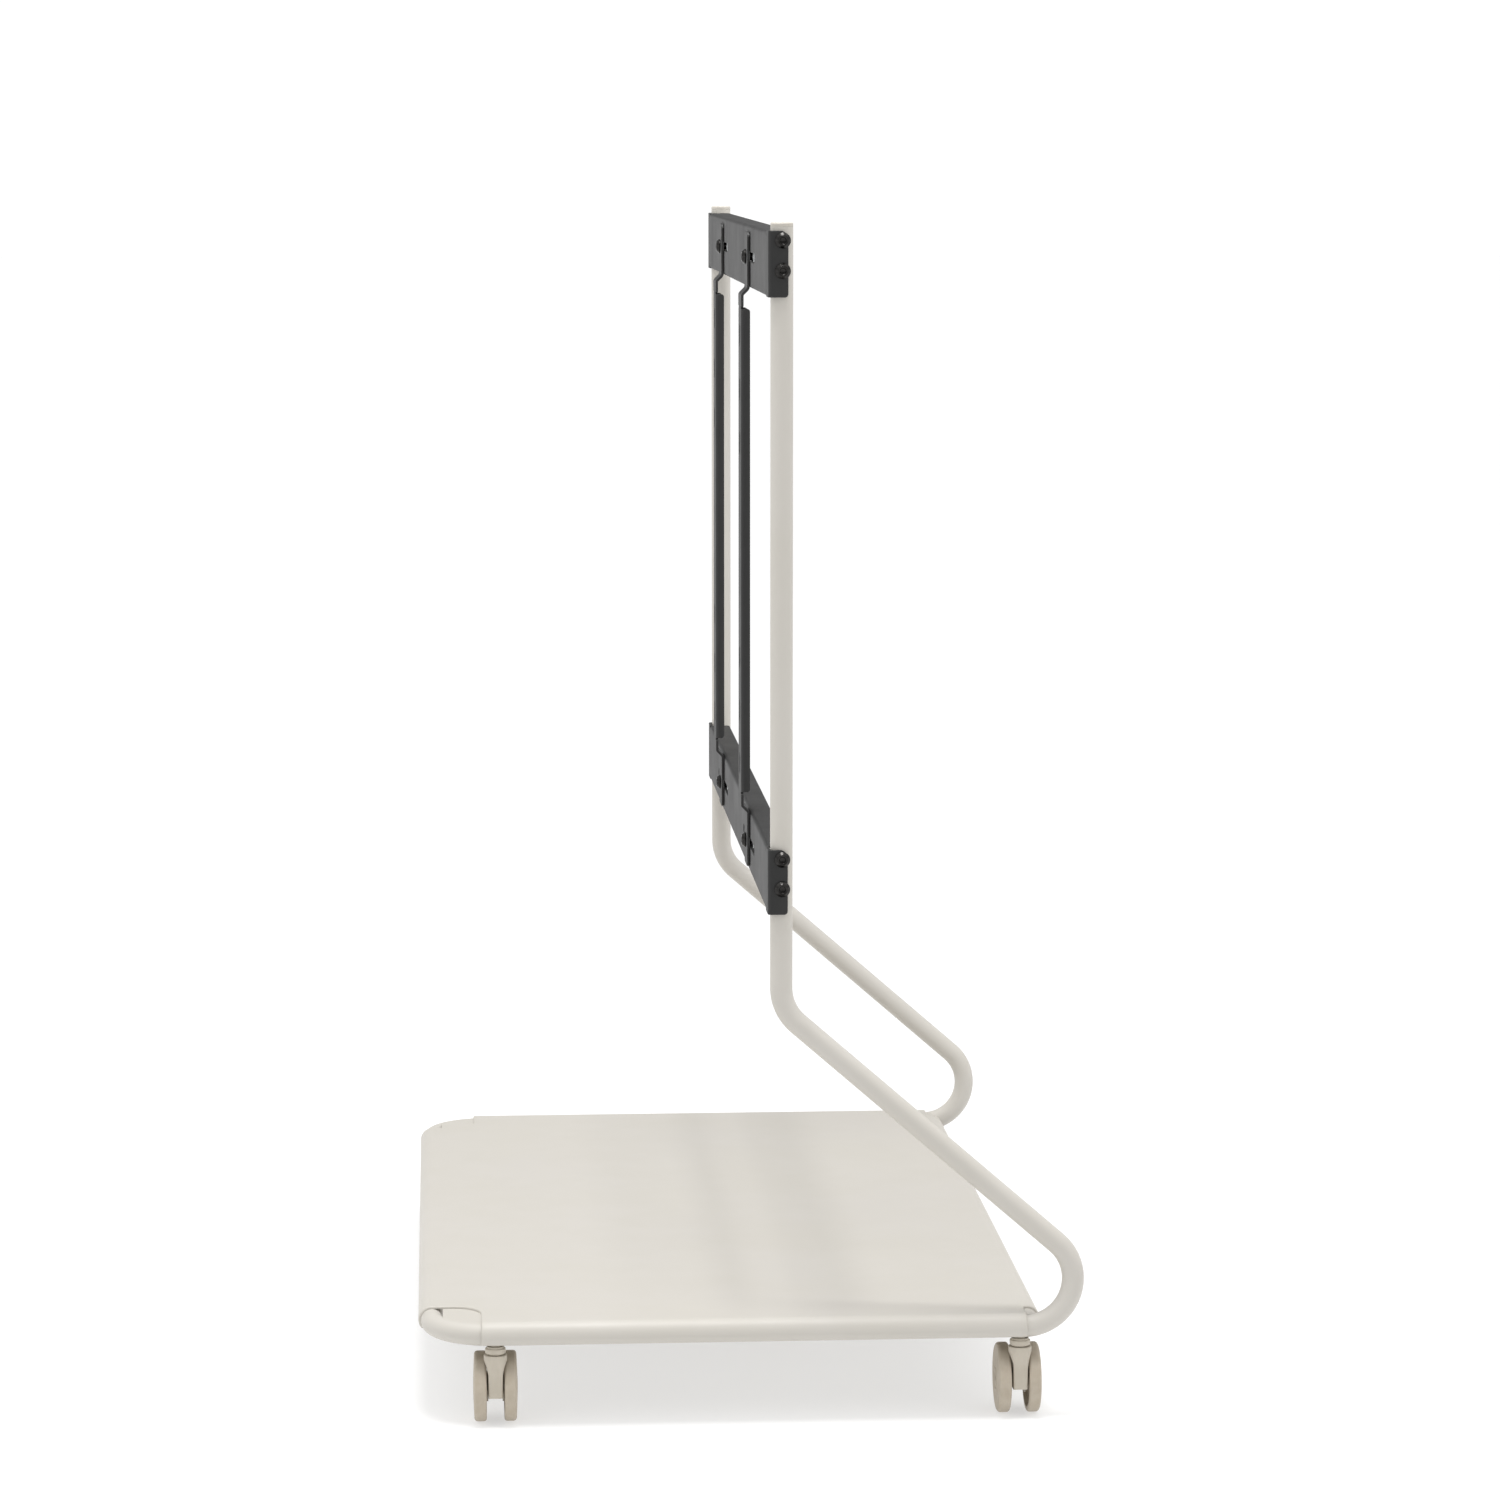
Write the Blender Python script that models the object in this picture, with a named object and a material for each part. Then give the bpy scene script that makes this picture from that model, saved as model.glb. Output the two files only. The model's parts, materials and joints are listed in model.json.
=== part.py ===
"""Rolling pedestal stand with a shelf in its base.

Two bent steel tubes make the sides. Each runs down as an upright, slopes back, turns under
in a tight bend, comes forward as the side of the base and turns the front corner to meet the
other tube in the middle. A sheet steel shelf is notched at its corners and rolled over the base
tubes. Two folded rails join the uprights and carry two slotted arms. Four twin wheel casters
swivel under the corners.

Metres, +Z up, the arms face -Y, the origin is on the floor under the middle.
"""
import math

import bmesh
import bpy
from mathutils import Matrix, Vector

# Overall sizes
HALF_WIDTH = 0.447          # middle of the stand to a side tube's centreline
FRONT_Y = -0.300            # front of the rolled shelf edge
REAR_Y = 0.300              # back of the rear bends
TOP_Z = 1.075               # top of the upright caps
BASE_Z = 0.084              # centreline of the base tubes above the floor
GAP = 0.0003                # clearance left between pieces that touch
OVER = 0.0010               # how far a cutter runs past the face it opens

# Frame tube
TUBE_R = 0.0100
TUBE_WALL = 0.0015
TUBE_SIDES = 16
BEND_R = 0.0435             # centreline radius of the upper and rear bends
CORNER_R = 0.055            # centreline radius of the front corners
BEND_STEPS = (4, 9, 6)      # facets along the upper bend, rear bend and front corner
SLOPE = math.radians(41.0)  # sloping run above the floor
UPRIGHT_Y = 0.0258          # centreline of the uprights
SLEEVE_LENGTH = 0.090       # sleeve inside the joint in the middle of the front
CAP_HEIGHT = 0.0030
CAP_EDGE = 0.0012           # rounding of a cap's rim
PLUG_DEPTH = 0.0038         # how far a cap's plug goes into the tube

# Shelf sheet
SHEET = 0.0020
FRONT_TUBE_Y = FRONT_Y + SHEET + GAP + TUBE_R
ROLL = math.radians(135.0)  # how far the edges are rolled round the tubes
ROLL_STEPS = 8
FRONT_NOTCH_X = 0.0570      # notch from the side tube's centreline
FRONT_NOTCH_Y = 0.0565      # notch from the front
NOTCH_R = 0.0250
NOTCH_STEPS = 5
REAR_NOTCH_X = 0.0250
REAR_NOTCH_Y = 0.5480       # start of the rear notch from the front
REAR_TUBE_Y = 0.2513
GUSSET_LEG = 0.112
GUSSET_TIP = 0.008
GUSSET_FRONT = 0.024        # front edge of a gusset from the front
GUSSET_T = 0.0020
RIB_X = 0.160
RIB_WIDTH = 0.036
RIB_DEPTH = 0.012
RIB_T = 0.0015
RIB_EDGE = 0.0020

# Rails between the uprights
RAIL_HEIGHT = 0.058
RAIL_T = 0.0025
RAIL_LIP = 0.018
RAIL_FOLD = 0.0035          # outer radius of a rail's folds
RAIL_TAB = 0.006            # flat left between the lips' ends and the end tabs
UPPER_RAIL_TOP = 1.0680
LOWER_RAIL_TOP = 0.5225
RAIL_BACK = 0.0307          # rear edge of the end tabs
TAB_TOP_R = 0.0070          # rear corners of the end tabs
TAB_FOOT_R = 0.0030
RAIL_BOLTS = (0.0085, 0.0350)   # bolts below a rail's top edge
RAIL_SLOT = 0.150           # between the ends' centres of a rail slot
SLOT_R = 0.0043

# Slotted arms
ARM_X = 0.200
ARM_WIDTH = 0.040
ARM_T = 0.0025
ARM_FRONT = 0.0045
ARM_FLANGE = 0.0060
ARM_END = 0.006             # arm ends inside the rails' outer edges
ARM_TAPER = 0.012           # plain strap between a foot and the flanged middle
ARM_SLOTS = (0.100, 0.150, 0.200)   # slots above and below an arm's middle
ARM_SLOT = 0.012            # between the ends' centres of an arm slot

# Socket bolts and nuts
BOLT_R = 0.0040
BOLT_SIDES = 10
TUBE_BOLT = 0.012
ARM_BOLT = 0.016
HEAD_R = 0.0070
HEAD_H = 0.0044
DOME = (0.0, 0.5, 1.0)      # angles at which the head's dome is drawn
SOCKET_R = 0.0029
SOCKET_DEPTH = 0.0024
NUT_R = 0.0075              # to a corner
FLANGE_R = 0.0090
FLANGE_H = 0.0010
NUT_H = 0.0065
BAR_HALF = math.radians(48.0)   # half the arc that a nut bar covers
BAR_T = 0.0025              # flat back of a nut bar from the tube's centreline
BAR_END = 0.0075

# Casters
WHEEL_R = 0.03175
WHEEL_SIDES = 24
TREAD_R = WHEEL_R / math.cos(math.pi / WHEEL_SIDES)   # flats touch the wheel's true radius
WHEEL_W = 0.0120
WHEEL_IN = 0.0080           # caster's middle plane to a wheel's inner face
WHEEL_HUB = 0.0085
WHEEL_DISH = 0.0045         # depth of the hollow in a wheel's inner face
WHEEL_DRAFT = 0.0010        # how far the hub widens towards the hollow's floor
WHEEL_RIM = 0.0068          # rim round the hollow, measured at its floor
INNER_EDGE = 0.0030         # chamfer between the tread and the inner face
OUTER_EDGE = 0.0045         # chamfer between the tread and the outer face
WHEEL_CROWN = 0.0012        # how far the outer face stands out in the middle
RUNNING = 0.0014            # room round the wheels in a yoke
TRAIL = 0.0200
FRONT_CASTER_Y = -0.2310
REAR_CASTER_Y = 0.2423
AXLE_R = 0.0030
AXLE_INSET = 0.0018         # axle's ends below the wheels' outer faces
PINTLE_R = 0.0040
PINTLE_LENGTH = 0.0235
STEM_R = 0.0050
STEM_RISE = 0.0040          # stem's top above the tube's centreline
STEM_SIDES = 12
TIER_R = 0.0078
TIER_H = 0.0015
COLLAR_R = 0.0093
COLLAR_H = 0.0045
YOKE_TOP = 0.0660
YOKE_HEAD = 0.0050          # height of the round head
YOKE_SHOULDER = 0.0150      # height over which the head draws in to the web
YOKE_HALF = 0.0065          # half the web between the wheels
HEAD_HALF = 0.0105
WEB_FRONT = 0.0088          # web's outer end, outward from the stem axis
WEB_BOTTOM = 0.0270         # underside of the web outside the boss
WEB_EDGE = 0.0025           # corner radius of the web's section
BOSS_R = 0.0090
YOKE_SIDES = 12
NECK_CUTS = (0.30, 0.65, 1.0)   # sections, as shares of the shoulder
BOSS_CUTS = (-0.60, -0.95)      # sections, as shares of the boss's radius

CREAM = ("cream_powder_coat", (0.70, 0.655, 0.575), 0.42, 0.0)
CASTER_CREAM = ("cream_nylon", (0.52, 0.475, 0.40), 0.48, 0.0)
CAP_CREAM = ("cream_polyethylene", (0.68, 0.635, 0.555), 0.50, 0.0)
BLACK = ("black_powder_coat", (0.012, 0.012, 0.013), 0.45, 0.0)
BOLT_BLACK = ("black_oxide_steel", (0.03, 0.03, 0.032), 0.30, 0.9)
ZINC = ("zinc_plated_steel", (0.55, 0.55, 0.56), 0.32, 1.0)


def clear_scene():
    """Remove what the scene holds."""
    for obj in list(bpy.data.objects):
        bpy.data.objects.remove(obj, do_unlink=True)


def finish_material(finish):
    """Return the Principled material of a finish, made on first use."""
    name, colour, roughness, metallic = finish
    material = bpy.data.materials.get(name)
    if material is None:
        material = bpy.data.materials.new(name)
        material.use_nodes = True
        shader = material.node_tree.nodes["Principled BSDF"]
        shader.inputs["Base Color"].default_value = (*colour, 1.0)
        shader.inputs["Roughness"].default_value = roughness
        shader.inputs["Metallic"].default_value = metallic
    return material


def add_object(name, bm, finish=None, origin=(0.0, 0.0, 0.0), smooth=True):
    """Turn a bmesh in world space into an object whose origin is at the given point."""
    bmesh.ops.recalc_face_normals(bm, faces=bm.faces)
    bmesh.ops.translate(bm, vec=-Vector(origin), verts=bm.verts)
    mesh = bpy.data.meshes.new(name)
    bm.to_mesh(mesh)
    bm.free()
    if smooth:
        mesh.shade_smooth()
        mesh.set_sharp_from_angle(angle=math.radians(32))
    obj = bpy.data.objects.new(name, mesh)
    obj.location = origin
    bpy.context.collection.objects.link(obj)
    if finish is not None:
        mesh.materials.append(finish_material(finish))
    return obj


def combine(target, bm, operation):
    """Cut a shape out of the target, or join it on; the shape stays as a hidden tool."""
    tool = add_object(f"{target.name}_{operation.lower()}_{len(target.modifiers)}", bm, smooth=False)
    tool.hide_render = True
    tool.display_type = "WIRE"
    modifier = target.modifiers.new(tool.name, "BOOLEAN")
    modifier.operation = operation
    modifier.object = tool


def arc_points(centre, radius, start, end, steps):
    """Return points on an arc in a plane, ends included."""
    turn = (end - start) / steps
    return [(centre[0] + radius * math.cos(start + turn * i),
             centre[1] + radius * math.sin(start + turn * i)) for i in range(steps + 1)]


def add_prism(bm, outline, low, high, place):
    """Extrude a plane outline from low to high; place turns (a, b, height) into a point."""
    base = [bm.verts.new(place(a, b, low)) for a, b in outline]
    top = [bm.verts.new(place(a, b, high)) for a, b in outline]
    bm.faces.new(base)
    bm.faces.new(top)
    for i in range(len(outline)):
        j = (i + 1) % len(outline)
        bm.faces.new((base[i], base[j], top[j], top[i]))


def add_turned(bm, profile, sides, place, turn=0.0):
    """Turn a profile of (radius, height) pairs round its axis; the ends lie on the axis."""
    rings = []
    for radius, height in profile:
        if radius == 0.0:
            rings.append([bm.verts.new(place(0.0, 0.0, height))])
            continue
        angles = [turn + 2.0 * math.pi * i / sides for i in range(sides)]
        rings.append([bm.verts.new(place(radius * math.cos(a), radius * math.sin(a), height))
                      for a in angles])
    for low, high in zip(rings, rings[1:]):
        for i in range(sides):
            j = (i + 1) % sides
            corners = [low[i % len(low)], low[j % len(low)], high[j % len(high)], high[i % len(high)]]
            bm.faces.new(list(dict.fromkeys(corners)))


def add_hole(bm, radius, start, end, place, sides=BOLT_SIDES):
    """Add a round cutter that runs from one height to another."""
    add_turned(bm, [(0.0, start), (radius, start), (radius, end), (0.0, end)], sides, place)


def add_ring(bm, profile, sides, place, turn=0.0):
    """Turn a closed profile of (radius, height) pairs round its axis, as a ring."""
    rings = []
    for i in range(sides):
        angle = turn + 2.0 * math.pi * i / sides
        rings.append([bm.verts.new(place(r * math.cos(angle), r * math.sin(angle), h))
                      for r, h in profile])
    for i in range(sides):
        here, there = rings[i], rings[(i + 1) % sides]
        for k in range(len(profile)):
            m = (k + 1) % len(profile)
            bm.faces.new((here[k], here[m], there[m], there[k]))


def rounded_path(corners, radii, steps):
    """Return the points of a polyline whose inner corners are rounded by arcs."""
    points = [Vector(corners[0])]
    for k, (radius, count) in enumerate(zip(radii, steps), start=1):
        here = Vector(corners[k])
        back = (Vector(corners[k - 1]) - here).normalized()
        ahead = (Vector(corners[k + 1]) - here).normalized()
        half = back.angle(ahead) / 2.0
        centre = here + (back + ahead).normalized() * radius / math.sin(half)
        start = here + back * radius / math.tan(half) - centre
        axis = back.cross(ahead).normalized()
        sweep = -(math.pi - 2.0 * half)
        for i in range(count + 1):
            points.append(centre + Matrix.Rotation(sweep * i / count, 3, axis) @ start)
    points.append(Vector(corners[-1]))
    return points


def section_rings(path, radius, sides):
    """Return rings of points round a path, turned as little as possible from one to the next."""
    rings = []
    side = None
    for i, point in enumerate(path):
        ahead = path[min(i + 1, len(path) - 1)] - point
        behind = point - path[max(i - 1, 0)]
        tangent = (ahead.normalized() + behind.normalized()).normalized()
        if side is None:
            side = tangent.orthogonal().normalized()
        side = (side - tangent * side.dot(tangent)).normalized()
        other = tangent.cross(side)
        angles = [2.0 * math.pi * (k + 0.5) / sides for k in range(sides)]
        rings.append([point + (side * math.cos(a) + other * math.sin(a)) * radius for a in angles])
    return rings


def add_tube(bm, path, radius, wall):
    """Sweep a round section along a path; with no wall the tube is solid."""
    radii = (radius, radius - wall) if wall else (radius,)
    shells = []
    for r in radii:
        shell = [[bm.verts.new(v) for v in ring] for ring in section_rings(path, r, TUBE_SIDES)]
        shells.append(shell)
        for low, high in zip(shell, shell[1:]):
            for i in range(TUBE_SIDES):
                j = (i + 1) % TUBE_SIDES
                bm.faces.new((low[i], low[j], high[j], high[i]))
    for end in (0, -1):
        if not wall:
            bm.faces.new(shells[0][end])
            continue
        outer, inner = shells[0][end], shells[1][end]
        for i in range(TUBE_SIDES):
            j = (i + 1) % TUBE_SIDES
            bm.faces.new((outer[i], outer[j], inner[j], inner[i]))


def side_path(side, end_x):
    """Return a frame tube's centreline, from the upright's top to end_x on the front run."""
    x = side * HALF_WIDTH
    bend_y = REAR_Y - TUBE_R - BEND_R
    bend_z = BASE_Z + BEND_R
    slope_y = bend_y + BEND_R * math.sin(SLOPE)
    slope_z = bend_z + BEND_R * math.cos(SLOPE)
    knee_z = slope_z + (slope_y - UPRIGHT_Y) * math.tan(SLOPE)
    heel_y = slope_y + (slope_z - BASE_Z) / math.tan(SLOPE)
    corners = [(x, UPRIGHT_Y, TOP_Z - CAP_HEIGHT - GAP), (x, UPRIGHT_Y, knee_z), (x, heel_y, BASE_Z),
               (x, FRONT_TUBE_Y, BASE_Z), (side * end_x, FRONT_TUBE_Y, BASE_Z)]
    return rounded_path(corners, (BEND_R, BEND_R, CORNER_R), BEND_STEPS)


def bolt_heights():
    """Return the heights of the bolts in one upright, top first."""
    return [top - drop for top in (UPPER_RAIL_TOP, LOWER_RAIL_TOP) for drop in RAIL_BOLTS]


def build_frame_tube(side, name):
    """Make one bent side tube with its bolt holes and caster holes."""
    bm = bmesh.new()
    add_tube(bm, side_path(side, GAP / 2.0), TUBE_R, TUBE_WALL)
    tube = add_object(name, bm, CREAM)
    holes = bmesh.new()
    for z in bolt_heights():
        add_hole(holes, BOLT_R + GAP, HALF_WIDTH + TUBE_R / 4.0, HALF_WIDTH + TUBE_R + OVER,
                 lambda a, b, h: Vector((side * h, UPRIGHT_Y + a, z + b)))
    for y in (FRONT_CASTER_Y, REAR_CASTER_Y):
        add_hole(holes, STEM_R + GAP, BASE_Z - TUBE_R - OVER, BASE_Z,
                 lambda a, b, h: Vector((side * HALF_WIDTH + a, y + b, h)), STEM_SIDES)
    combine(tube, holes, "DIFFERENCE")


def build_cap(side, name):
    """Make the moulded plug that closes an upright's top."""
    bm = bmesh.new()
    rim = TOP_Z - CAP_HEIGHT
    plug_r = TUBE_R - TUBE_WALL - GAP
    profile = [(0.0, TOP_Z), (TUBE_R - CAP_EDGE, TOP_Z), (TUBE_R, TOP_Z - CAP_EDGE), (TUBE_R, rim),
               (plug_r, rim), (plug_r, rim - PLUG_DEPTH), (0.0, rim - PLUG_DEPTH)]
    add_turned(bm, profile, TUBE_SIDES,
               lambda a, b, h: Vector((side * HALF_WIDTH + a, UPRIGHT_Y + b, h)), math.pi / TUBE_SIDES)
    add_object(name, bm, CAP_CREAM)


def build_front_sleeve():
    """Make the sleeve inside the joint of the two tubes, in the middle of the front."""
    bm = bmesh.new()
    half = SLEEVE_LENGTH / 2.0
    path = [Vector((-half, FRONT_TUBE_Y, BASE_Z)), Vector((half, FRONT_TUBE_Y, BASE_Z))]
    add_tube(bm, path, TUBE_R - TUBE_WALL - GAP, TUBE_WALL)
    add_object("front_joint_sleeve", bm, ZINC)


def build_rear_tube():
    """Make the rear cross tube, its ends coped to the side tubes."""
    bm = bmesh.new()
    path = [Vector((-HALF_WIDTH, REAR_TUBE_Y, BASE_Z)), Vector((HALF_WIDTH, REAR_TUBE_Y, BASE_Z))]
    add_tube(bm, path, TUBE_R, TUBE_WALL)
    tube = add_object("rear_cross_tube", bm, CREAM)
    copes = bmesh.new()
    for side in (-1.0, 1.0):
        add_tube(copes, side_path(side, HALF_WIDTH / 2.0), TUBE_R + GAP, 0.0)
    combine(tube, copes, "DIFFERENCE")


def build_gusset(side, name):
    """Make the corner web that is welded between the side tube and the front tube."""
    bm = bmesh.new()
    y = FRONT_Y + GUSSET_FRONT
    centre = (HALF_WIDTH - CORNER_R, FRONT_TUBE_Y + CORNER_R)
    start = math.asin((y - centre[1]) / CORNER_R)
    outline = arc_points(centre, CORNER_R, start, 0.0, BEND_STEPS[2] - 1)
    outline += [(HALF_WIDTH, y + GUSSET_LEG), (HALF_WIDTH - GUSSET_TIP, y + GUSSET_LEG),
                (HALF_WIDTH - GUSSET_LEG, y + GUSSET_TIP), (HALF_WIDTH - GUSSET_LEG, y)]
    top = BASE_Z + TUBE_R
    add_prism(bm, outline, top - GUSSET_T, top, lambda a, b, h: Vector((side * a, b, h)))
    gusset = add_object(name, bm, CREAM)
    edge = bmesh.new()
    add_tube(edge, side_path(side, HALF_WIDTH / 2.0), TUBE_R + GAP, 0.0)
    combine(gusset, edge, "DIFFERENCE")


def shelf_outline():
    """Return the flat of the shelf, anticlockwise from the right end of its front edge.

    The right half comes first, then its mirror image, so point k of one half faces point
    -1 - k of the other.
    """
    notch_x = HALF_WIDTH - FRONT_NOTCH_X
    notch_y = FRONT_Y + FRONT_NOTCH_Y
    right = [(notch_x, FRONT_TUBE_Y)]
    right += arc_points((notch_x + NOTCH_R, notch_y - NOTCH_R), NOTCH_R, math.pi, math.pi / 2.0,
                        NOTCH_STEPS)
    right += [(HALF_WIDTH, notch_y), (HALF_WIDTH, FRONT_Y + REAR_NOTCH_Y),
              (HALF_WIDTH - REAR_NOTCH_X, FRONT_Y + REAR_NOTCH_Y),
              (HALF_WIDTH - REAR_NOTCH_X, REAR_TUBE_Y)]
    return right + [(-x, y) for x, y in reversed(right)]


def roll_edge(bm, first, second, outward):
    """Roll the sheet down from the edge between two vertices, over a tube of its own radius."""
    radius = TUBE_R + GAP + SHEET
    tops = [vert.co.copy() for vert in (first, second)]
    last = (first, second)
    for i in range(1, ROLL_STEPS + 1):
        angle = ROLL * i / ROLL_STEPS
        drop = outward * radius * math.sin(angle) + Vector((0, 0, radius * (math.cos(angle) - 1.0)))
        row = tuple(bm.verts.new(top + drop) for top in tops)
        bm.faces.new((last[0], last[1], row[1], row[0]))
        last = row


def build_shelf():
    """Make the base shelf: one sheet, notched at its corners and rolled over all four tubes."""
    bm = bmesh.new()
    outline = shelf_outline()
    top = BASE_Z + TUBE_R + GAP + SHEET
    verts = [bm.verts.new((x, y, top)) for x, y in outline]
    bm.faces.new(verts)
    rear = len(outline) // 2 - 1
    side_end = rear - 2
    roll_edge(bm, verts[-1], verts[0], Vector((0, -1, 0)))
    roll_edge(bm, verts[side_end - 1], verts[side_end], Vector((1, 0, 0)))
    roll_edge(bm, verts[rear], verts[rear + 1], Vector((0, 1, 0)))
    roll_edge(bm, verts[-1 - side_end], verts[-side_end], Vector((-1, 0, 0)))
    shelf = add_object("base_shelf", bm, CREAM)
    wall = shelf.modifiers.new("Sheet thickness", "SOLIDIFY")
    wall.thickness = SHEET
    wall.offset = -1.0
    wall.use_even_offset = True


def build_rib(side, name):
    """Make a channel that stiffens the shelf from below, front to back."""
    bm = bmesh.new()
    half = RIB_WIDTH / 2.0
    inner = half - RIB_T
    top = BASE_Z + TUBE_R
    low = top - RIB_DEPTH
    outline = [(-half, low), (-half, top - RIB_EDGE), (-half + RIB_EDGE, top), (half - RIB_EDGE, top),
               (half, top - RIB_EDGE), (half, low), (inner, low), (inner, top - RIB_T),
               (-inner, top - RIB_T), (-inner, low)]
    add_prism(bm, outline, FRONT_TUBE_Y + TUBE_R + OVER, REAR_TUBE_Y - TUBE_R - OVER,
              lambda a, b, h: Vector((side * RIB_X + a, h, b)))
    add_object(name, bm, CREAM)


def capsule(centre, half, radius, steps):
    """Return the outline of a slot that runs along the first axis."""
    right = arc_points((centre[0] + half, centre[1]), radius, -math.pi / 2, math.pi / 2, steps)
    left = arc_points((centre[0] - half, centre[1]), radius, math.pi / 2, 3 * math.pi / 2, steps)
    return right + left


def mirrored(outline, middle):
    """Return an outline of (y, z) pairs followed by its reflection in the height middle."""
    return outline + [(y, 2.0 * middle - z) for y, z in reversed(outline)]


def rail_faces():
    """Return the y of a rail's back and front faces and the x of its tabs' two faces."""
    back = UPRIGHT_Y - TUBE_R - GAP
    inside = HALF_WIDTH + TUBE_R + GAP
    return back, back - RAIL_T, inside, inside + RAIL_T


def add_rail_tab(bm, side, top):
    """Add the end of a rail: the flat in front of an upright, folded back along its outer side."""
    back, front, inside, outside = rail_faces()
    inner_fold = RAIL_FOLD - RAIL_T
    start = HALF_WIDTH - TUBE_R - RAIL_TAB
    plan = [(start, front)]
    plan += arc_points((outside - RAIL_FOLD, front + RAIL_FOLD), RAIL_FOLD, -math.pi / 2, 0.0, 3)
    plan += [(outside, RAIL_BACK), (inside, RAIL_BACK)]
    plan += arc_points((inside - inner_fold, back + inner_fold), inner_fold, 0.0, -math.pi / 2, 1)
    plan.append((start, back))
    add_prism(bm, plan, top - RAIL_HEIGHT, top, lambda a, b, h: Vector((side * a, b, h)))


def add_tab_corner(bm, side, edge, radius, up):
    """Add a cutter that rounds the rear corner of a tab at the given edge height."""
    inside, outside = rail_faces()[2:]
    centre = (RAIL_BACK - radius, edge - up * radius)
    outline = arc_points(centre, radius, up * math.pi / 2, 0.0, 4)
    outline += [(RAIL_BACK + OVER, edge - up * radius), (RAIL_BACK + OVER, edge + up * OVER),
                (RAIL_BACK - radius, edge + up * OVER)]
    add_prism(bm, outline, inside - OVER, outside + OVER, lambda a, b, h: Vector((side * h, a, b)))


def build_rail(top, name):
    """Make a folded cross rail: a channel whose ends turn back along the uprights."""
    back, front, inside, outside = rail_faces()
    inner_fold = RAIL_FOLD - RAIL_T
    middle = top - RAIL_HEIGHT / 2.0
    reach = back + RAIL_LIP
    section = arc_points((front + RAIL_FOLD, top - RAIL_FOLD), RAIL_FOLD, math.pi, math.pi / 2, 3)
    section += [(reach, top), (reach, top - RAIL_T)]
    section += arc_points((back + inner_fold, top - RAIL_T - inner_fold), inner_fold,
                          math.pi / 2, math.pi, 1)
    half = HALF_WIDTH - TUBE_R - RAIL_TAB + OVER
    bm = bmesh.new()
    add_prism(bm, mirrored(section, middle), -half, half, lambda a, b, h: Vector((h, a, b)))
    rail = add_object(name, bm, BLACK)

    tabs = bmesh.new()
    for side in (-1.0, 1.0):
        add_rail_tab(tabs, side, top)
    combine(rail, tabs, "UNION")

    cuts = bmesh.new()
    for side in (-1.0, 1.0):
        slot = capsule((side * ARM_X, middle), RAIL_SLOT / 2.0, SLOT_R, 4)
        add_prism(cuts, slot, front - OVER, back + OVER, lambda a, b, h: Vector((a, h, b)))
        for drop in RAIL_BOLTS:
            add_hole(cuts, BOLT_R + GAP, inside - OVER, outside + OVER,
                     lambda a, b, h: Vector((side * h, UPRIGHT_Y + a, top - drop + b)))
        add_tab_corner(cuts, side, top, TAB_TOP_R, 1.0)
        add_tab_corner(cuts, side, top - RAIL_HEIGHT, TAB_FOOT_R, -1.0)
    combine(rail, cuts, "DIFFERENCE")


def build_arm(side, name):
    """Make a slotted arm: a flanged strap whose ends step back on to the rails."""
    rail_face = rail_faces()[1] - GAP
    top = UPPER_RAIL_TOP - ARM_END
    low = LOWER_RAIL_TOP - RAIL_HEIGHT + ARM_END
    middle = (top + low) / 2.0
    foot = UPPER_RAIL_TOP - RAIL_HEIGHT - ARM_END
    knee = foot - (rail_face - ARM_T - ARM_FRONT)
    front = mirrored([(rail_face - ARM_T, top), (rail_face - ARM_T, foot), (ARM_FRONT, knee)], middle)
    back = mirrored([(rail_face, top), (rail_face, foot - OVER), (ARM_FRONT + ARM_T, knee - OVER)],
                    middle)
    x = side * ARM_X
    half = ARM_WIDTH / 2.0
    bm = bmesh.new()
    add_prism(bm, front + back[::-1], x - half, x + half, lambda a, b, h: Vector((h, a, b)))
    arm = add_object(name, bm, BLACK)

    channel = bmesh.new()
    deep = ARM_FRONT + ARM_T + ARM_FLANGE
    section = [(-half, ARM_FRONT), (half, ARM_FRONT), (half, deep), (half - ARM_T, deep),
               (half - ARM_T, ARM_FRONT + ARM_T), (-half + ARM_T, ARM_FRONT + ARM_T),
               (-half + ARM_T, deep), (-half, deep)]
    reach = knee - ARM_TAPER - middle
    add_prism(channel, section, middle - reach, middle + reach, lambda a, b, h: Vector((x + a, b, h)))
    combine(arm, channel, "UNION")

    holes = bmesh.new()
    for offset in ARM_SLOTS:
        for z in (middle - offset, middle + offset):
            add_prism(holes, capsule((z, x), ARM_SLOT / 2.0, SLOT_R, 3), ARM_FRONT - OVER,
                      ARM_FRONT + ARM_T + OVER, lambda a, b, h: Vector((b, h, a)))
    for rail_top in (UPPER_RAIL_TOP, LOWER_RAIL_TOP):
        z = rail_top - RAIL_HEIGHT / 2.0
        add_hole(holes, BOLT_R + GAP, rail_face - ARM_T - OVER, rail_face + OVER,
                 lambda a, b, h: Vector((x + a, h, z + b)))
    combine(arm, holes, "DIFFERENCE")


def build_bolt(name, seat, direction, length):
    """Make a button head socket bolt whose head sits at the seat and whose shank points inward."""
    inward = Vector(direction).normalized()
    across = inward.orthogonal().normalized()
    other = inward.cross(across)
    origin = Vector(seat)

    def place(a, b, h):
        return origin + across * a + other * b + inward * h

    bm = bmesh.new()
    dome = [(HEAD_R * math.cos(t), -HEAD_H * math.sin(t)) for t in DOME]
    add_turned(bm, [(0.0, length), (BOLT_R, length), (BOLT_R, 0.0)] + dome + [(0.0, dome[-1][1])],
               BOLT_SIDES, place)
    bolt = add_object(name, bm, BOLT_BLACK, origin)
    socket = bmesh.new()
    add_hole(socket, SOCKET_R, -HEAD_H - OVER, SOCKET_DEPTH - HEAD_H, place, 6)
    combine(bolt, socket, "DIFFERENCE")


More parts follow.
